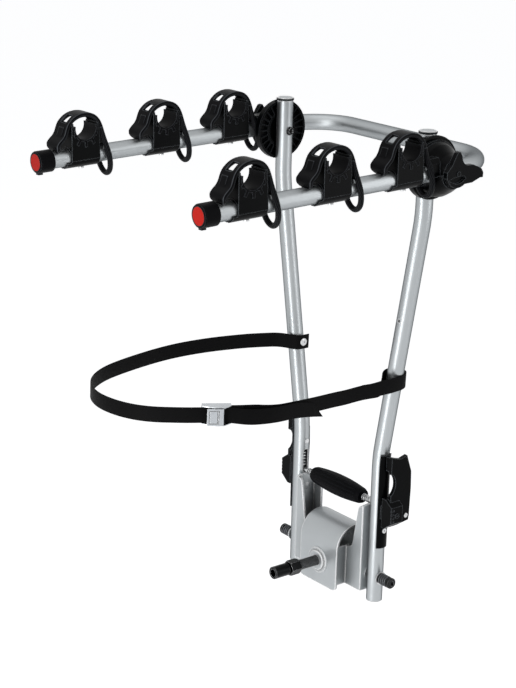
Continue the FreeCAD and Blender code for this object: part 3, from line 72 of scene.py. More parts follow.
# A cradle strap, in millimetres at its cradle's centre. The band's line runs from its tab over the bike's
# tube to the loop, as (y, z), and its half widths are given at even steps along it.
STRAP_WIDTH = 32.0
BAND_LINE = [
    (-46.0, 12.0), (-50.5, 17.0), (-53.5, 24.0), (-46.0, 31.0), (-38.0, 37.0), (-34.8, 47.0), (-30.5, 57.5),
    (-18.0, 67.5), (-2.0, 71.0), (13.0, 69.0), (24.0, 62.5), (31.0, 52.0), (34.8, 39.0), (37.2, 27.0),
    (40.0, 14.0),
]
BAND_HALF = [16.5, 16.8, 17.0, 16.8, 16.4, 16.0, 15.6, 15.2, 14.8, 14.6, 14.6, 14.8, 15.2, 15.6, 16.0]
BAND_STEPS = 8
BAND_COLUMNS = 22
# The tab's round end: how far along it runs, and the least share of the width it comes down to
TONGUE = 13.0
TONGUE_LEAST = 0.35
# The window in the band's front: half its width, and its two ends along y
WINDOW_HALF = 7.2
WINDOW_ENDS = (-29.0, -16.5)
# The raised rectangle on the tab: its width and length, its place across and along, and its height
SLAB_SIZE = (14.0, 17.0)
SLAB_X = -2.5
SLAB_RUN = 38.0
SLAB_PROUD = 1.3
# The round rims: their radius, how far past the band's side they reach, and how far inside it they lie
RIM_RADIUS = 3.6
RIM_OUT = 0.6
RIM_IN = 2.0
# The loop of round cord, from one side of the band to the other
LOOP_LINE = [
    (12.2, 30.5, 46.0), (13.0, 33.8, 33.0), (14.8, 37.6, 20.0), (17.6, 41.4, 6.0), (19.0, 44.6, -10.0),
    (14.5, 47.0, -28.0), (0.0, 48.4, -37.5),
    (-14.5, 47.0, -28.0), (-19.0, 44.6, -10.0), (-17.6, 41.4, 6.0), (-14.8, 37.6, 20.0), (-13.0, 33.8, 33.0),
    (-12.2, 30.5, 46.0),
]
# The grain at which the strap's parts are moulded into one
VOXEL = 0.8

# The webbing, in millimetres and degrees: its height and tilt, the buckle's middle and turn, and the tail
WEB_Z = 361.0
WEB_TILT = 2.1
BUCKLE = (94.0, -340.5)
BUCKLE_TURN = 60.3
TAIL = 60.0
TAIL_SAG = 9.0
TAIL_SLANT = 0.8
# How much higher or lower each strap hangs than its plan, by millimetres from its end
LONG_LIFTS = [(0, -5.0), (120, -5.0), (175, 0.0)]
TETHER_LIFTS = [
    (0, -1.0), (36, -1.0), (62, 3.0), (84, 7.5), (120, 8.0), (145, 5.0), (170, 3.5), (209, 0.0), (260, -3.5),
    (310, -4.0), (378, -3.0), (433, 0.0),
]
# The post that the tether goes round: its middle, and how far from it the webbing runs
TETHER_X = 127.9
TETHER_WRAP = 17.6

# The springs in the posts, in millimetres: foot and head, distance from the middle, coil and wire radius
SPRING_ENDS = (137.3, 184.2)
SPRING_X = 104.3
SPRING_R = 9.6
SPRING_WIRE_R = 1.1
SPRING_TURNS = 8
SPRING_STEPS = 12

# How much paler the housing's colour is than the tubes': painted light that brightens the housing
BASE_GAIN = 1.15
# Where the painted highlight on an edge begins: the cosine between a face and its rounded edge, and the span
# of pointiness over which it grows on a welded piece
HIGHLIGHT_FROM = 0.985
HIGHLIGHT_POINTINESS = (0.508, 0.55)
# The open share of the sky at which the painted shade in hollows is darkest, and at which it ends
CAVITY = (0.60, 0.92)
# The span of a noise texture's usual values
NOISE_SPAN = (0.3, 0.7)
# A wave texture's period at scale 1, and the webbing's spacing along and across
WAVE_PERIOD = 0.314
WARP_MM = 1.6
WEFT_MM = 1.3

# What finishes of one stuff share
PAINT = {"ior": 1.5, "grain_mm": 0.6, "grain_depth_mm": 0.02, "blotch_mm": 40, "blotch": 0.03}
ZINC = {"metallic": 1.0, "ior": 1.5, "rough": (0.22, 0.38), "grain_mm": 1.2, "grain_depth_mm": 0.01,
        "blotch_mm": 12, "blotch": 0.08}
WIRE = {"metallic": 1.0, "ior": 1.5, "grain_mm": 0.4, "grain_depth_mm": 0.01, "blotch_mm": 8, "blotch": 0.08}
NYLON = {"metallic": 0.0, "ior": 1.53, "rough": (0.24, 0.36), "grain_mm": 0.7, "grain_depth_mm": 0.05,
         "blotch_mm": 25, "blotch": 0.12, "Specular IOR Level": 0.04}
RUBBER = {"metallic": 0.0, "ior": 1.52, "grain_mm": 0.9, "grain_depth_mm": 0.05, "blotch_mm": 18,
          "blotch": 0.15, "Specular IOR Level": 0.04}

# The floor, in metres: low enough for the strap when the frame is tilted down
FLOOR_Z = -0.30
FLOOR_REACH = 40.0
# Each lamp's place, aim, size and power, in metres and watts
LAMPS = {
    "strip_left": ((0.42, -1.55, 0.95), (0, -0.05, 0.45), (0.4, 1.8), 8.0),
    "strip_low": ((0.28, -0.95, -0.03), (0.10, 0.0, 0.55), (0.16, 1.2), 3.6),
    "strip_right": ((1.20, 0.72, 0.85), (0, -0.05, 0.45), (0.35, 1.6), 3.6),
    "top": ((-0.4, -0.6, 3.0), (0, -0.1, 0.4), (2.0, 2.0), 8.0),
}
# The camera's place in metres, its turn, drop and roll in degrees, and its focal length in pixels of a
# picture of that height
CAMERA_PLACE = (2.2103, -1.9434, 1.2991)
CAMERA_ANGLES = (51.536, 17.251, 1.458)
SENSOR_MM = 36.0
FOCAL_PX = 1807.5
PICTURE_PX = 688


def linear(text):
    """An sRGB hex colour as linear red, green and blue."""
    out = []
    for i in (1, 3, 5):
        c = int(text[i:i + 2], 16) / 255
        out.append(c / 12.92 if c <= 0.04045 else ((c + 0.055) / 1.055) ** 2.4)
    return tuple(out)


# Settings that a user would change

class RackSizes(bpy.types.PropertyGroup):
    """Sizes of the soft pieces."""
    strap_width: FloatProperty(
        name="Cradle Strap Width", description="Width of the rubber band over a cradle",
        default=STRAP_WIDTH * MM, unit="LENGTH")
    strap_thick: FloatProperty(
        name="Cradle Strap Thickness", description="Thickness of the rubber band",
        default=0.0040, unit="LENGTH")
    loop_radius: FloatProperty(
        name="Loop Radius", description="Radius of the round rubber of the hanging loop",
        default=0.0047, unit="LENGTH")
    web_width: FloatProperty(
        name="Webbing Width", description="Width of the woven strap", default=0.0262, unit="LENGTH")
    web_thick: FloatProperty(
        name="Webbing Thickness", description="Thickness of the woven strap", default=0.0016, unit="LENGTH")


class RackColours(bpy.types.PropertyGroup):
    """Colours of the finishes."""
    silver: FloatVectorProperty(
        name="Silver Paint", description="Powder coat on the tubes and the housing",
        subtype="COLOR", default=linear("#ADB1B3"), min=0, max=1)
    plastic: FloatVectorProperty(
        name="Black Plastic", description="Moulded cradles, hubs and brackets",
        subtype="COLOR", default=linear("#040506"), min=0, max=1)
    rubber: FloatVectorProperty(
        name="Black Rubber", description="Straps, caps, linings and grip",
        subtype="COLOR", default=linear("#050507"), min=0, max=1)
    webbing: FloatVectorProperty(
        name="Webbing", description="Woven strap",
        subtype="COLOR", default=linear("#060607"), min=0, max=1)
    red: FloatVectorProperty(
        name="Red Disc", description="Discs in the arm caps",
        subtype="COLOR", default=linear("#C4231A"), min=0, max=1)


# Node and mesh helpers

def node(tree, kind, settings=None, inputs=None):
    """Adds a node, sets its properties, and sets or links its inputs."""
    made = tree.nodes.new(kind)
    for name, value in (settings or {}).items():
        setattr(made, name, value)
    for name, value in (inputs or {}).items():
        socket = made.inputs[name]
        if isinstance(value, bpy.types.NodeSocket):
            tree.links.new(value, socket)
        else:
            socket.default_value = value
    return made


def empty_tree(owner):
    """A material's or world's node tree, cleared."""
    owner.use_nodes = True
    owner.node_tree.nodes.clear()
    return owner.node_tree


def rgba(colour, gain=1.0):
    """A colour with full alpha, made paler or darker by a gain."""
    return (*(min(1.0, c * gain) for c in colour), 1.0)


def ramp(tree, value, starts, ends):
    """A value taken from one range to another, and held inside it."""
    return node(tree, "ShaderNodeMapRange", inputs={
        "Value": value, "From Min": starts[0], "From Max": starts[1], "To Min": ends[0],
        "To Max": ends[1]}).outputs["Result"]


def blended(tree, share, first, second):
    """The colour between two."""
    return node(tree, "ShaderNodeMix", {"data_type": "RGBA"}, {0: share, 6: first, 7: second}).outputs[2]


def surface(name, colour, metallic, ior, rough, grain_mm, grain_depth_mm, blotch_mm, blotch, edge_mm=0.8,
            highlight_tone=None, highlight_metal=1.0, highlight_end=0.80, welded=False, cavity_mm=0.0,
            cavity_tone=0.02, alone=False, **sockets):
    """A finish with faint blotches of tone, a grain in its relief and a roughness that varies with it.

    Every edge is rounded in the shading by edge_mm, and gets a painted highlight: a paler tone laid along it,
    with its own metallic value, which is full where the cosine between face and rounded edge reaches the
    given end. A welded piece finds its edges by their pointiness. Cavity_mm is how near to each other walls
    are where painted shade darkens them, down to cavity_tone, and a piece that is alone is shaded by its own
    walls only. Whatever else is given goes on the shader's own sockets.
    """
    material = bpy.data.materials.new(name)
    tree = empty_tree(material)
    place = node(tree, "ShaderNodeTexCoord").outputs["Object"]
    tone = node(tree, "ShaderNodeTexNoise", inputs={
        "Vector": place, "Scale": 1000 / blotch_mm, "Detail": 4.0})
    grain = node(tree, "ShaderNodeTexNoise", inputs={
        "Vector": place, "Scale": 1000 / grain_mm, "Detail": 3.0})
    tint = blended(tree, tone.outputs["Fac"], rgba(colour, 1 - blotch), rgba(colour, 1 + blotch))
    shine = ramp(tree, grain.outputs["Fac"], NOISE_SPAN, rough)
    edge = node(tree, "ShaderNodeBevel", {"samples": 4}, {"Radius": edge_mm * MM})
    face = node(tree, "ShaderNodeNewGeometry")
    # Painted highlight: a mask of the edges, found by pointiness on a welded piece and else by the rounded
    # normal, where a paler tone is laid
    if welded:
        painted_highlight = ramp(tree, face.outputs["Pointiness"], HIGHLIGHT_POINTINESS, (0.0, 1.0))
    else:
        along = node(tree, "ShaderNodeVectorMath", {"operation": "DOT_PRODUCT"}, {
            0: edge.outputs["Normal"], 1: face.outputs["Normal"]})
        painted_highlight = ramp(tree, along.outputs["Value"], (HIGHLIGHT_FROM, highlight_end), (0.0, 1.0))
    tint = blended(tree, painted_highlight, tint, rgba(highlight_tone or colour))
    # Painted shade: the colour darkens where walls are near each other
    if cavity_mm:
        near = node(tree, "ShaderNodeAmbientOcclusion", {"samples": 4, "only_local": alone}, {
            "Distance": cavity_mm * MM})
        painted_shade = ramp(tree, near.outputs["AO"], CAVITY, (cavity_tone, 1.0))
        tint = node(tree, "ShaderNodeVectorMath", {"operation": "SCALE"}, {
            0: tint, "Scale": painted_shade}).outputs["Vector"]
    # The painted highlight is less metallic than the face, so its pale tone shows
    if highlight_metal < 1:
        metallic = ramp(tree, painted_highlight, (0.0, 1.0), (metallic, metallic * highlight_metal))
    bump = node(tree, "ShaderNodeBump", inputs={
        "Height": grain.outputs["Fac"], "Strength": 0.5, "Distance": grain_depth_mm * MM,
        "Normal": edge.outputs["Normal"]})
    shader = node(tree, "ShaderNodeBsdfPrincipled", inputs={
        "Base Color": tint, "Metallic": metallic, "IOR": ior, "Roughness": shine,
        "Normal": bump.outputs["Normal"], **sockets})
    node(tree, "ShaderNodeOutputMaterial", inputs={"Surface": shader.outputs["BSDF"]})
    return material


def colours():
    """The colours that the user chose."""
    return bpy.context.scene.rack_colours


def finished(make):
    """The finish that a maker makes, made the first time it is asked for."""
    name = f"rack_{make.__name__}"
    return bpy.data.materials.get(name) or make(name)


def silver_paint(name):
    # Polyester powder coat with aluminium flake over steel tube: satin, fine sparkle, and a painted white
    # highlight on its edges.
    return surface(name, colours().silver, metallic=0.95, rough=(0.29, 0.38), **PAINT, edge_mm=4.0,
                   highlight_tone=linear("#FFFFFF"), highlight_metal=0.12, highlight_end=0.95,
                   **{"Specular Tint": rgba(linear("#101112"))})


def base_paint(name):
    # The same powder coat on folded sheet, thicker and flatter; its paler colour is painted light on the
    # housing.
    paler = [c * BASE_GAIN for c in colours().silver]
    # Its edges get a painted white highlight, and its hollows painted shade.
    return surface(name, paler, metallic=0.55, rough=(0.34, 0.46), **PAINT, edge_mm=4.0,
                   highlight_tone=linear("#FFFFFF"), highlight_end=0.95, cavity_mm=45.0, cavity_tone=0.25, alone=True,
                   **{"Specular IOR Level": 0.3})


def silver_bow(name):
    # The same powder coat, sprayed thicker round the bends: duller, with a painted pale highlight on its
    # edges.
    return surface(name, colours().silver, metallic=0.90, rough=(0.34, 0.44), **PAINT, edge_mm=2.0,
                   highlight_tone=linear("#E9EBEC"), **{"Specular Tint": rgba(linear("#3A3C3E"))})


def zinc_plate(name):
    # Bright zinc plate on steel: pale, slightly cloudy.
    return surface(name, linear("#C9CACB"), **ZINC)


def zinc_with_painted_shade(name):
    # Zinc plated bolt, with painted shade where its spring and its hole hide it.
    return surface(name, linear("#C9CACB"), **ZINC, cavity_mm=5.0)


def black_zinc(name):
    # Black passivated zinc on steel: dark metal with a soft shine, a painted pale highlight on its edges and
    # painted shade in its grooves.
    return surface(name, linear("#0E0F10"), metallic=0.9, ior=1.5, rough=(0.24, 0.38), grain_mm=0.8,
                   grain_depth_mm=0.02, blotch_mm=10, blotch=0.15, edge_mm=0.9,
                   highlight_tone=linear("#C6C8CA"), cavity_mm=1.5)


def spring_wire(name):
    # Drawn spring steel: bright, with a fine grain.
    return surface(name, linear("#C9CACC"), rough=(0.18, 0.32), **WIRE)


def wire_with_painted_shade(name):
    # The same wire on the handle's rod, with painted shade between the turns.
    return surface(name, linear("#E1E2E4"), rough=(0.18, 0.32), **WIRE, cavity_mm=6.0)


def dark_wire(name):
    # Blued spring steel, oiled: grey and glossy, with painted shade between the turns.
    return surface(name, linear("#5E6063"), rough=(0.10, 0.18), **WIRE, cavity_mm=6.0)


def nickel(name):
    # Nickel plated die casting: bright and a little uneven, with a painted white highlight on its edges and
    # painted shade in its hollows.
    return surface(name, linear("#B9BDC1"), metallic=1.0, ior=1.5, rough=(0.16, 0.30), grain_mm=1.5,
                   grain_depth_mm=0.03, blotch_mm=9, blotch=0.10, edge_mm=1.0, highlight_tone=linear("#FAFBFC"),
                   highlight_metal=0.4, cavity_mm=1.6)


def nylon(name):
    # Glass-filled nylon from a spark-eroded mould: black, fine matt grain, with a painted grey highlight on
    # its edges.
    return surface(name, colours().plastic, **NYLON, edge_mm=2.2, highlight_tone=linear("#6F7377"))


def disc_nylon(name):
    # The same nylon where ribs shade each other: the painted highlight on their rims is dimmer.
    return surface(name, colours().plastic, **NYLON, edge_mm=1.4, highlight_tone=linear("#43464A"))


def rubber(name):
    # Moulded rubber: deep black, soft broad sheen, with a painted grey highlight on its edges.
    return surface(name, colours().rubber, rough=(0.36, 0.50), **RUBBER, edge_mm=1.8,
                   highlight_tone=linear("#5A5D61"))


def grip_rubber(name):
    # The same rubber, worn dull by hands: the flutes show as soft dark lines, with only a faint painted
    # highlight on their edges.
    return surface(name, colours().rubber, rough=(0.40, 0.54), **RUBBER, edge_mm=1.0,
                   highlight_tone=linear("#2A2C2F"))


def strap_rubber(name):
    # The same rubber, moulded in one piece with rounded rims, which carry a painted grey highlight where they
    # are most pointed.
    return surface(name, colours().rubber, rough=(0.36, 0.50), **RUBBER, edge_mm=1.0,
                   highlight_tone=linear("#5A5D61"), welded=True)


def red_plastic(name):
    # Pressed translucent red plastic: saturated and glossy.
    return surface(name, colours().red, metallic=0.0, ior=1.49, rough=(0.30, 0.40), grain_mm=1.5,
                   grain_depth_mm=0.03, blotch_mm=8, blotch=0.06, **{"Specular IOR Level": 0.08})


def webbing(name):
    # Plain-woven polypropylene webbing: ribs across at the weft's spacing, cords along.
    colour = colours().webbing
    material = bpy.data.materials.new(name)
    tree = empty_tree(material)
    # The route's own attribute holds millimetres along and across the strap.
    place = node(tree, "ShaderNodeAttribute", {"attribute_name": "weave_mm"}).outputs["Vector"]
    warp = node(tree, "ShaderNodeTexWave", {"bands_direction": "Y"}, {
        "Vector": place, "Scale": WAVE_PERIOD / WARP_MM, "Distortion": 0.4, "Detail": 1.0})
    weft = node(tree, "ShaderNodeTexWave", {"bands_direction": "X"}, {
        "Vector": place, "Scale": WAVE_PERIOD / WEFT_MM, "Distortion": 0.6, "Detail": 1.0})
    weave = node(tree, "ShaderNodeMath", {"operation": "MULTIPLY"}, {
        0: warp.outputs["Fac"], 1: weft.outputs["Fac"]}).outputs["Value"]
    tint = blended(tree, weave, rgba(colour, 0.45), rgba(colour, 1.5))
    bump = node(tree, "ShaderNodeBump", inputs={"Height": weave, "Strength": 0.6, "Distance": 0.25 * MM})
    shader = node(tree, "ShaderNodeBsdfPrincipled", inputs={
        "Base Color": tint, "Roughness": 0.6, "IOR": 1.49, "Normal": bump.outputs["Normal"],
        "Specular IOR Level": 0.07})
    node(tree, "ShaderNodeOutputMaterial", inputs={"Surface": shader.outputs["BSDF"]})
    return material


def paint_nodes(groups):
    """Gives CAD nodes their finishes, from lists of their names by the finish's maker."""
    for make, names in groups.items():
        for name in names:
            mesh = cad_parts[name].data
            mesh.materials.clear()
            mesh.materials.append(finished(make))


def add_piece(name, mesh, material):
    """A new piece of the rack, smooth all over, of one material."""
    piece = bpy.data.objects.new(name, mesh)
    bpy.context.scene.collection.objects.link(piece)
    mesh.materials.clear()
    mesh.materials.append(material)
    for polygon in mesh.polygons:
        polygon.use_smooth = True
    return piece


def curve_mesh(points, order=3, width=0.0, radius=0.0, steps=10, caps=False):
    """The mesh of a smooth curve: a tube of that radius, or a band of that width."""
    data = bpy.data.curves.new("route", "CURVE")
    data.dimensions = "3D"
    data.twist_mode = "Z_UP"
    spline = data.splines.new("NURBS")
    spline.points.add(len(points) - 1)
    for place, point in zip(spline.points, points):
        place.co = (*point, 1)
    spline.order_u = order
    spline.use_endpoint_u = True
    data.resolution_u = steps
    data.extrude = width / 2
    data.bevel_depth = radius
    data.bevel_resolution = 3
    data.use_fill_caps = caps
    route = bpy.data.objects.new("route", data)
    bpy.context.scene.collection.objects.link(route)
    graph = bpy.context.evaluated_depsgraph_get()
    mesh = bpy.data.meshes.new_from_object(route.evaluated_get(graph))
    bpy.data.objects.remove(route)
    bpy.data.curves.remove(data)
    return mesh


def with_modifiers(mesh, settings):
    """The mesh after a list of (modifier type, properties)."""
    holder = bpy.data.objects.new("holder", mesh)
    bpy.context.scene.collection.objects.link(holder)
    for kind, values in settings:
        modifier = holder.modifiers.new(kind.lower(), kind)
        for name, value in values.items():
            setattr(modifier, name, value)
    graph = bpy.context.evaluated_depsgraph_get()
    made = bpy.data.meshes.new_from_object(holder.evaluated_get(graph))
    bpy.data.objects.remove(holder)
    return made


def to_mesh(shape, name):
    """A new mesh with a bmesh's shape, which is freed."""
    mesh = bpy.data.meshes.new(name)
    shape.to_mesh(mesh)
    shape.free()
    return mesh


# Rubber straps

def on_arm(side, y):
    """Takes a cradle's own metres to its place on the drooping arm; the left one is mirrored."""
    hub = Vector((0, 0, HUB_Z * MM))
    turn = Matrix.Rotation(math.radians(ARM_DROOP), 4, "X")
    droop = Matrix.Translation(hub) @ turn @ Matrix.Translation(-hub)
    place = droop @ Matrix.Translation(Vector((ARM_X, y, HUB_Z)) * MM)
    return Matrix.Diagonal((side, 1, 1, 1)) @ place


def smooth_line(points, steps):
    """Points of a smooth open line through a row of flat control points."""
    mesh = curve_mesh([Vector((*p, 0)) for p in points], steps=steps, order=4)
    row = [v.co.copy() for v in mesh.vertices]
    bpy.data.meshes.remove(mesh)
    return row


def width_at(share, run):
    """The band's half width in millimetres, at a share of its length and a run from its rounded tab end."""
    place = share * (len(BAND_HALF) - 1)
    low = min(int(place), len(BAND_HALF) - 2)
    half = BAND_HALF[low] + (BAND_HALF[low + 1] - BAND_HALF[low]) * (place - low)
    left = max(0.0, 1.0 - run / TONGUE)
    return half * max(TONGUE_LEAST, math.sqrt(1.0 - left * left))


def band_mesh(line, halves, thick):
    """The flat band along its line, with its window."""
    shape = bmesh.new()
    last = len(line) - 1
    bmesh.ops.create_grid(shape, x_segments=BAND_COLUMNS, y_segments=last, size=1.0)
    for v in shape.verts:
        i = round((v.co.y + 1) / 2 * last)
        v.co = Vector((v.co.x * halves[i], line[i].x, line[i].y)) * MM
    half = WINDOW_HALF * MM
    near, far = (end * MM for end in WINDOW_ENDS)
    window = [
        f for f in shape.faces
        if abs(f.calc_center_median().x) < half and near < f.calc_center_median().y < far
    ]
    bmesh.ops.delete(shape, geom=window, context="FACES")
    bmesh.ops.recalc_face_normals(shape, faces=shape.faces)
    return with_modifiers(to_mesh(shape, "band"), [("SOLIDIFY", {"thickness": thick, "offset": 0.0})])


def slab_mesh(spot, along, thick):
    """A plain raised rectangle on the tab, where the thumb pulls."""
    slab = bmesh.new()
    bmesh.ops.create_cube(slab, size=1.0)
    size = Vector((*SLAB_SIZE, thick / MM + 2 * SLAB_PROUD)) * MM
    bmesh.ops.scale(slab, vec=size, verts=slab.verts)
    tilt = Matrix.Rotation(math.atan2(along.y, along.x), 3, "X")
    bmesh.ops.rotate(slab, verts=slab.verts, cent=(0, 0, 0), matrix=tilt)
    bmesh.ops.translate(slab, verts=slab.verts, vec=Vector((SLAB_X, spot.x, spot.y)) * MM)
    return to_mesh(slab, "slab")


def strap_mesh(sizes):
    """One cradle strap at its cradle's centre: a rimmed band with a window, and its loop of round cord."""
    widen = sizes.strap_width / (STRAP_WIDTH * MM)
    line = smooth_line(BAND_LINE, BAND_STEPS)
    runs = [0.0]
    for a, b in zip(line, line[1:]):
        runs.append(runs[-1] + (b - a).length)
    halves = [width_at(run / runs[-1], run) * widen for run in runs]
    cord = [Vector(p) * MM for p in LOOP_LINE]
    parts = [
        band_mesh(line, halves, sizes.strap_thick),
        curve_mesh(cord, radius=sizes.loop_radius, order=4, steps=8, caps=True),
    ]
    # The rims fold inwards, so each one's round runs a little inside the band.
    for side in (-1, 1):
        rim = []
        for i in range(2, len(line) - 3, 4):
            along = (line[i + 1] - line[i - 1]).normalized()
            rim.append(Vector((
                side * (halves[i] - RIM_RADIUS + RIM_OUT), line[i].x + along.y * RIM_IN,
                line[i].y - along.x * RIM_IN)) * MM)
        rim.append(cord[2] if side > 0 else cord[-3])
        parts.append(curve_mesh(rim, radius=RIM_RADIUS * MM, steps=5, caps=True))
    spot = min(range(len(line)), key=lambda i: abs(runs[i] - SLAB_RUN))
    parts.append(slab_mesh(line[spot], line[spot + 1] - line[spot - 1], sizes.strap_thick))
    whole = bmesh.new()
    for part in parts:
        whole.from_mesh(part)
    return with_modifiers(to_mesh(whole, "strap"), [
        ("REMESH", {"mode": "VOXEL", "voxel_size": VOXEL * MM}),
        ("SMOOTH", {"factor": 0.5, "iterations": 3}),
    ])


# Webbing

def eased(pairs, at):
    """The value at a place between (place, value) pairs, joined without corners."""
    if at <= pairs[0][0]:
        return pairs[0][1]
    for (low, first), (high, second) in zip(pairs, pairs[1:]):
        if at <= high:
            share = (at - low) / (high - low)
            return first + (second - first) * share * share * (3 - 2 * share)
    return pairs[-1][1]


def web_tilt():
    """Takes the webbing from its level plan to its height and tilt on the frame."""
    return Matrix.Translation((0, 0, WEB_Z * MM)) @ Matrix.Rotation(math.radians(WEB_TILT), 4, "Y")


def from_buckle(along, out):
    """A plan point from the buckle's middle, along the strap and outwards, in millimetres."""
    turn = math.radians(BUCKLE_TURN)
    return (BUCKLE[0] + along * math.cos(turn) + out * math.sin(turn),
            BUCKLE[1] + along * math.sin(turn) - out * math.cos(turn))


def add_ribbon(name, points, sizes, lifts, tail=0.0):
    """Webbing on edge along a smooth plan route, with its millimetres along and across kept for the weave.

    A tail is the length at the end that hangs loose: it sags a little and its end is cut slanting.
    """
    edge = sizes.web_thick / 2
    mesh = curve_mesh(
        [Vector((*p, 0)) * MM for p in points], width=sizes.web_width - 2 * edge, radius=edge, steps=8)
    # The curve's own coordinates tell which points lie on one cross-section.
    uv = mesh.uv_layers[0].data
    shares = {loop.vertex_index: round(uv[loop.index].uv[0], 6) for loop in mesh.loops}
    rows = {}
    for index, share in shares.items():
        rows.setdefault(share, []).append(mesh.vertices[index].co.copy())
    centres = {share: sum(row, Vector()) / len(row) for share, row in rows.items()}
    ordered = sorted(centres)
    runs = {ordered[0]: 0.0}
    for before, share in zip(ordered, ordered[1:]):
        runs[share] = runs[before] + (centres[share] - centres[before]).length / MM
    length = runs[ordered[-1]]
    shape = bmesh.new()
    shape.from_mesh(mesh)
    ends = [e for e in shape.edges if e.is_boundary]
    bmesh.ops.holes_fill(shape, edges=ends, sides=0)
    shape.to_mesh(mesh)
    shape.free()
    weave = mesh.attributes.new("weave_mm", "FLOAT_VECTOR", "POINT")
    along = (Vector(points[-1]) - Vector(points[-2])).normalized().to_3d()
    for v in mesh.vertices:
        run = runs[shares[v.index]]
        left = length - run
        weave.data[v.index].vector = (run, v.co.z / MM, 0)
        slack = max(0.0, 1 - left / tail) if tail else 0.0
        v.co += along * (TAIL_SLANT * slack ** 3 * -v.co.z)
        v.co.z += (eased(lifts, left) - TAIL_SAG * slack ** 2) * MM
    mesh.transform(web_tilt())
    return add_piece(name, mesh, finished(webbing))


# Stage

def background_rays(tree):
    """1 where the background is seen: by the camera, in metal and through anything clear."""
    path = node(tree, "ShaderNodeLightPath")
    both = node(tree, "ShaderNodeMath", {"operation": "MAXIMUM"}, {
        0: path.outputs["Is Camera Ray"], 1: path.outputs["Is Glossy Ray"]})
    return node(tree, "ShaderNodeMath", {"operation": "MAXIMUM"}, {
        0: both.outputs["Value"], 1: path.outputs["Is Transmission Ray"]}).outputs["Value"]


def backdrop():
    # Plain white paper, which the camera sees as white, darkened only by the rack's shadow.
    material = bpy.data.materials.new("backdrop")
    tree = empty_tree(material)
    seen = background_rays(tree)
    paper = node(tree, "ShaderNodeBsdfDiffuse", inputs={"Color": rgba(linear("#EEEEEE"))})
    glow = node(tree, "ShaderNodeEmission", inputs={"Color": rgba(linear("#FFFFFF")), "Strength": 0.75})
    lifted = node(tree, "ShaderNodeAddShader", inputs={0: paper.outputs["BSDF"], 1: glow.outputs["Emission"]})
    mixed = node(tree, "ShaderNodeMixShader", inputs={
        0: seen, 1: paper.outputs["BSDF"], 2: lifted.outputs["Shader"]})
    node(tree, "ShaderNodeOutputMaterial", inputs={"Surface": mixed.outputs["Shader"]})
    return material


def add_floor(scene):
    """A wide level floor under the rack, which isn't part of it."""
    floor = bmesh.new()
    bmesh.ops.create_grid(floor, x_segments=1, y_segments=1, size=FLOOR_REACH)
    bmesh.ops.translate(floor, vec=(0, 0, FLOOR_Z), verts=floor.verts)
    mesh = to_mesh(floor, "floor")
    ground = bpy.data.objects.new("floor", mesh)
    scene.collection.objects.link(ground)
    mesh.materials.append(backdrop())


def add_world(scene):
    """A world that is white where it is seen, and lights the rack softly."""
    world = bpy.data.worlds.new("studio")
    scene.world = world
    tree = empty_tree(world)
    seen = background_rays(tree)
    plain = node(tree, "ShaderNodeBackground", inputs={"Color": rgba(linear("#FFFFFF")), "Strength": 1.0})
    soft = node(tree, "ShaderNodeBackground", inputs={"Color": rgba(linear("#F4F6FA")), "Strength": 0.30})
    mixed = node(tree, "ShaderNodeMixShader", inputs={
        0: seen, 1: soft.outputs["Background"], 2: plain.outputs["Background"]})
    node(tree, "ShaderNodeOutputWorld", inputs={"Surface": mixed.outputs["Shader"]})


def add_lamps(scene):
    """The studio's area lamps, which the camera doesn't see."""
    for name, (place, aim, size, power) in LAMPS.items():
        lamp = bpy.data.lights.new(name, "AREA")
        lamp.shape = "RECTANGLE"
        lamp.size, lamp.size_y = size
        lamp.energy = power
        holder = bpy.data.objects.new(name, lamp)
        scene.collection.objects.link(holder)
        holder.location = place
        holder.visible_camera = False
        holder.rotation_euler = (Vector(aim) - Vector(place)).to_track_quat("-Z", "Y").to_euler()


def add_camera(scene):
    """The camera at the photograph's viewing angle."""
    turn, drop, roll = (math.radians(a) for a in CAMERA_ANGLES)
    ahead = Vector((-math.sin(turn) * math.cos(drop), math.cos(turn) * math.cos(drop), -math.sin(drop)))
    right = Vector((math.cos(turn), math.sin(turn), 0))
    above = right.cross(ahead)
    side = right * math.cos(roll) + above * math.sin(roll)
    up = above * math.cos(roll) - right * math.sin(roll)
    lens = bpy.data.cameras.new("camera")
    lens.sensor_width = SENSOR_MM
    lens.lens = SENSOR_MM * FOCAL_PX / PICTURE_PX
    camera = bpy.data.objects.new("camera", lens)
    scene.collection.objects.link(camera)
    basis = Matrix((side, up, -ahead)).transposed().to_4x4()
    camera.matrix_world = Matrix.Translation(CAMERA_PLACE) @ basis
    scene.camera = camera


# Operators, one for each group of like pieces

class RACK_OT_metal(bpy.types.Operator):
    """Finishes the painted tubes, the housing and all plated fittings"""
    bl_idname = "rack.metal"
    bl_label = "Finish Metal Pieces"

    def execute(self, context):
        paint_nodes({
            silver_paint: ["post_right", "post_left"],
            base_paint: ["base_housing", "threaded_boss", "post_discs"],
            silver_bow: ["arm_bow"],
            zinc_plate: [
                "ball_seat", "pivot_washers", "handle_rod", "spring_pins", "strap_rivet",
                "lamp_bracket_rivets", "lamp_screw_left", "lamp_screw_right", "cradle_screws", "hub_nuts"],
            black_zinc: ["spindle_screw", "spindle_collar", "clamp_jaw", "hub_bolts", "pivot_nuts"],
            zinc_with_painted_shade: ["pivot_bolts"],
            wire_with_painted_shade: ["handle_end_springs"],
            dark_wire: ["pivot_springs"],
            nickel: ["buckle_frame", "buckle_lever"],
        })
        return {"FINISHED"}


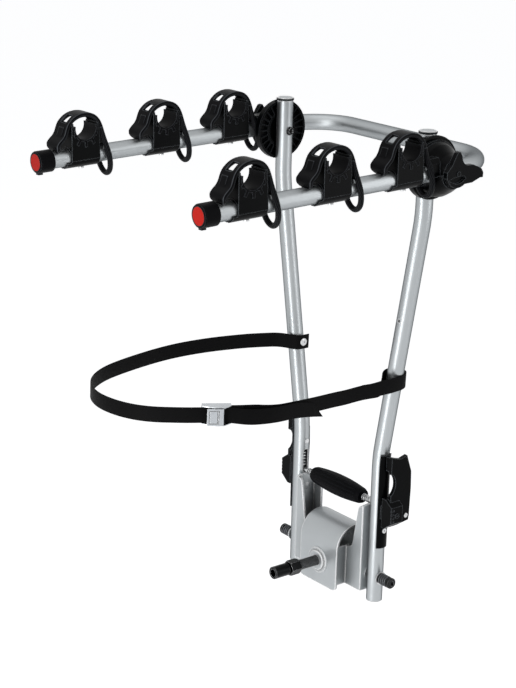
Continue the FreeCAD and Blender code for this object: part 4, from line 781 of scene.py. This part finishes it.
class RACK_OT_mouldings(bpy.types.Operator):
    """Finishes the black plastic and rubber mouldings and the red discs"""
    bl_idname = "rack.mouldings"
    bl_label = "Finish Mouldings"

    def execute(self, context):
        paired = ("hub_shell", "hub_lever", "lamp_lever", "cradle_1", "cradle_2", "cradle_3")
        paint_nodes({
            disc_nylon: ["hub_discs"],
            nylon: ["hub_pins", "lamp_brackets", "lamp_bracket_pivots", "post_caps"]
            + [f"{name}_{side}" for name in paired for side in ("left", "right")],
            rubber: ["arm_caps", "cradle_inserts_left", "cradle_inserts_right"],
            grip_rubber: ["handle_grip"],
            red_plastic: ["red_discs"],
        })
        return {"FINISHED"}


class RACK_OT_straps(bpy.types.Operator):
    """Moulds the six rubber cradle straps, each one piece with its hanging loop"""
    bl_idname = "rack.straps"
    bl_label = "Add Cradle Straps"

    def execute(self, context):
        master = strap_mesh(context.scene.rack_sizes)
        for side, sign in SIDES:
            for i, y in enumerate(CRADLE_Y, 1):
                mesh = master.copy()
                mesh.transform(on_arm(sign, y))
                if sign < 0:
                    mesh.flip_normals()
                strap = add_piece(f"rubber_strap_{i}_{side}", mesh, finished(strap_rubber))
                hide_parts(f"cradle_strap_{i}_{side}", f"strap_loops_{side}")
                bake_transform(strap)
        return {"FINISHED"}


class RACK_OT_webbing(bpy.types.Operator):
    """Lays the long and the short webbing straps"""
    bl_idname = "rack.webbing"
    bl_label = "Add Webbing"

    def execute(self, context):
        sizes = context.scene.rack_sizes
        long_route = [
            (-111.4, 14.0), (-111.4, 0.0), (-112.5, -8.0), (-117.0, -13.0), (-143.0, -26.5), (-156.0, -56.0),
            (-168.0, -88.0), (-184.0, -160.0),
            (-187.0, -238.0), (-170.0, -330.0), (-150.0, -396.0), (-112.0, -444.0), (-62.0, -464.0),
            (-10.0, -458.0), (34.0, -434.0), from_buckle(-52, 0), from_buckle(-26, 0), from_buckle(0, 0),
            from_buckle(26, 0), from_buckle(48, 0), (131.5, -262.0), (134.0, -225.0), (133.0, -166.0),
        ]
        long_strap = add_ribbon("webbing_strap", long_route, sizes, LONG_LIFTS, TAIL)
        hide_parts("webbing_long")
        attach(long_strap, "frame")
        x, wrap = TETHER_X, TETHER_WRAP
        short_route = [
            from_buckle(42, -2.8), from_buckle(20, -2.8), from_buckle(16.0, -3.0), from_buckle(15.0, -5.5),
            from_buckle(16.0, -8.0), from_buckle(20, -8.2), from_buckle(36, -8.2), (116.0, -281.0),
            (125.5, -262.0), (130.2, -228.0), (130.0, -160.0), (131.5, -110.0), (139.0, -60.0),
            (x + wrap, -22.0), (x + wrap, 4.0), (x + wrap - 4.0, wrap - 3.0), (x + 4.0, wrap + 0.5),
            (x - 4.0, wrap + 0.5), (x - wrap + 4.5, wrap - 3.0), (x - wrap + 1.8, 4.0),
            (x - wrap + 1.8, -12.0), (x - 3.0, -24.0), (x + 12.0, -40.0), (x + 8.6, -60.0), (x + 6.3, -76.0),
        ]
        short_strap = add_ribbon("webbing_tether", short_route, sizes, TETHER_LIFTS)
        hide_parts("webbing_short")
        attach(short_strap, "frame")
        return {"FINISHED"}


class RACK_OT_springs(bpy.types.Operator):
    """Winds the two springs in the posts, which the rod presses together as the handle lifts"""
    bl_idname = "rack.springs"
    bl_label = "Add Slot Springs"

    def execute(self, context):
        low, high = SPRING_ENDS
        climb = (high - low - 2 * SPRING_WIRE_R) / SPRING_TURNS
        turns = [i / SPRING_STEPS for i in range(SPRING_TURNS * SPRING_STEPS + 1)]
        for side, sign in SIDES:
            points = [Vector((
                sign * (SPRING_X + SPRING_R * math.cos(math.tau * t)), SPRING_R * math.sin(math.tau * t),
                low + SPRING_WIRE_R + climb * t)) * MM for t in turns]
            mesh = curve_mesh(points, order=4, radius=SPRING_WIRE_R * MM, steps=3, caps=True)
            spring = add_piece(f"post_spring_{side}", mesh, finished(spring_wire))
            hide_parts("slot_springs")
            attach(spring, "frame")
            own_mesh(spring)
        return {"FINISHED"}


class RACK_OT_stage(bpy.types.Operator):
    """Sets the pale floor, the soft studio light and the camera"""
    bl_idname = "rack.stage"
    bl_label = "Set Stage"

    def execute(self, context):
        scene = context.scene
        scene.view_settings.view_transform = "Standard"
        add_floor(scene)
        add_world(scene)
        add_lamps(scene)
        add_camera(scene)
        return {"FINISHED"}


class RACK_PT_panel(bpy.types.Panel):
    """Lists the rack's operators and settings"""
    bl_label = "Bike Rack"
    bl_idname = "RACK_PT_panel"
    bl_space_type = "VIEW_3D"
    bl_region_type = "UI"
    bl_category = "Bike Rack"

    def draw(self, context):
        layout = self.layout
        for group in (context.scene.rack_sizes, context.scene.rack_colours):
            for name in group.bl_rna.properties.keys():
                if name not in ("rna_type", "name"):
                    layout.prop(group, name)
        for operator in OPERATORS:
            layout.operator(operator.bl_idname)


OPERATORS = (RACK_OT_metal, RACK_OT_mouldings, RACK_OT_straps, RACK_OT_webbing, RACK_OT_springs,
             RACK_OT_stage)
CLASSES = (RackSizes, RackColours, *OPERATORS, RACK_PT_panel)


def register():
    for cls in CLASSES:
        bpy.utils.register_class(cls)
    bpy.types.Scene.rack_sizes = PointerProperty(type=RackSizes)
    bpy.types.Scene.rack_colours = PointerProperty(type=RackColours)


def unregister():
    del bpy.types.Scene.rack_sizes
    del bpy.types.Scene.rack_colours
    for cls in reversed(CLASSES):
        bpy.utils.unregister_class(cls)


def main():
    register()
    bpy.ops.rack.metal()
    bpy.ops.rack.mouldings()
    bpy.ops.rack.straps()
    bpy.ops.rack.webbing()
    bpy.ops.rack.springs()
    bpy.ops.rack.stage()


if __name__ == "__main__":
    main()
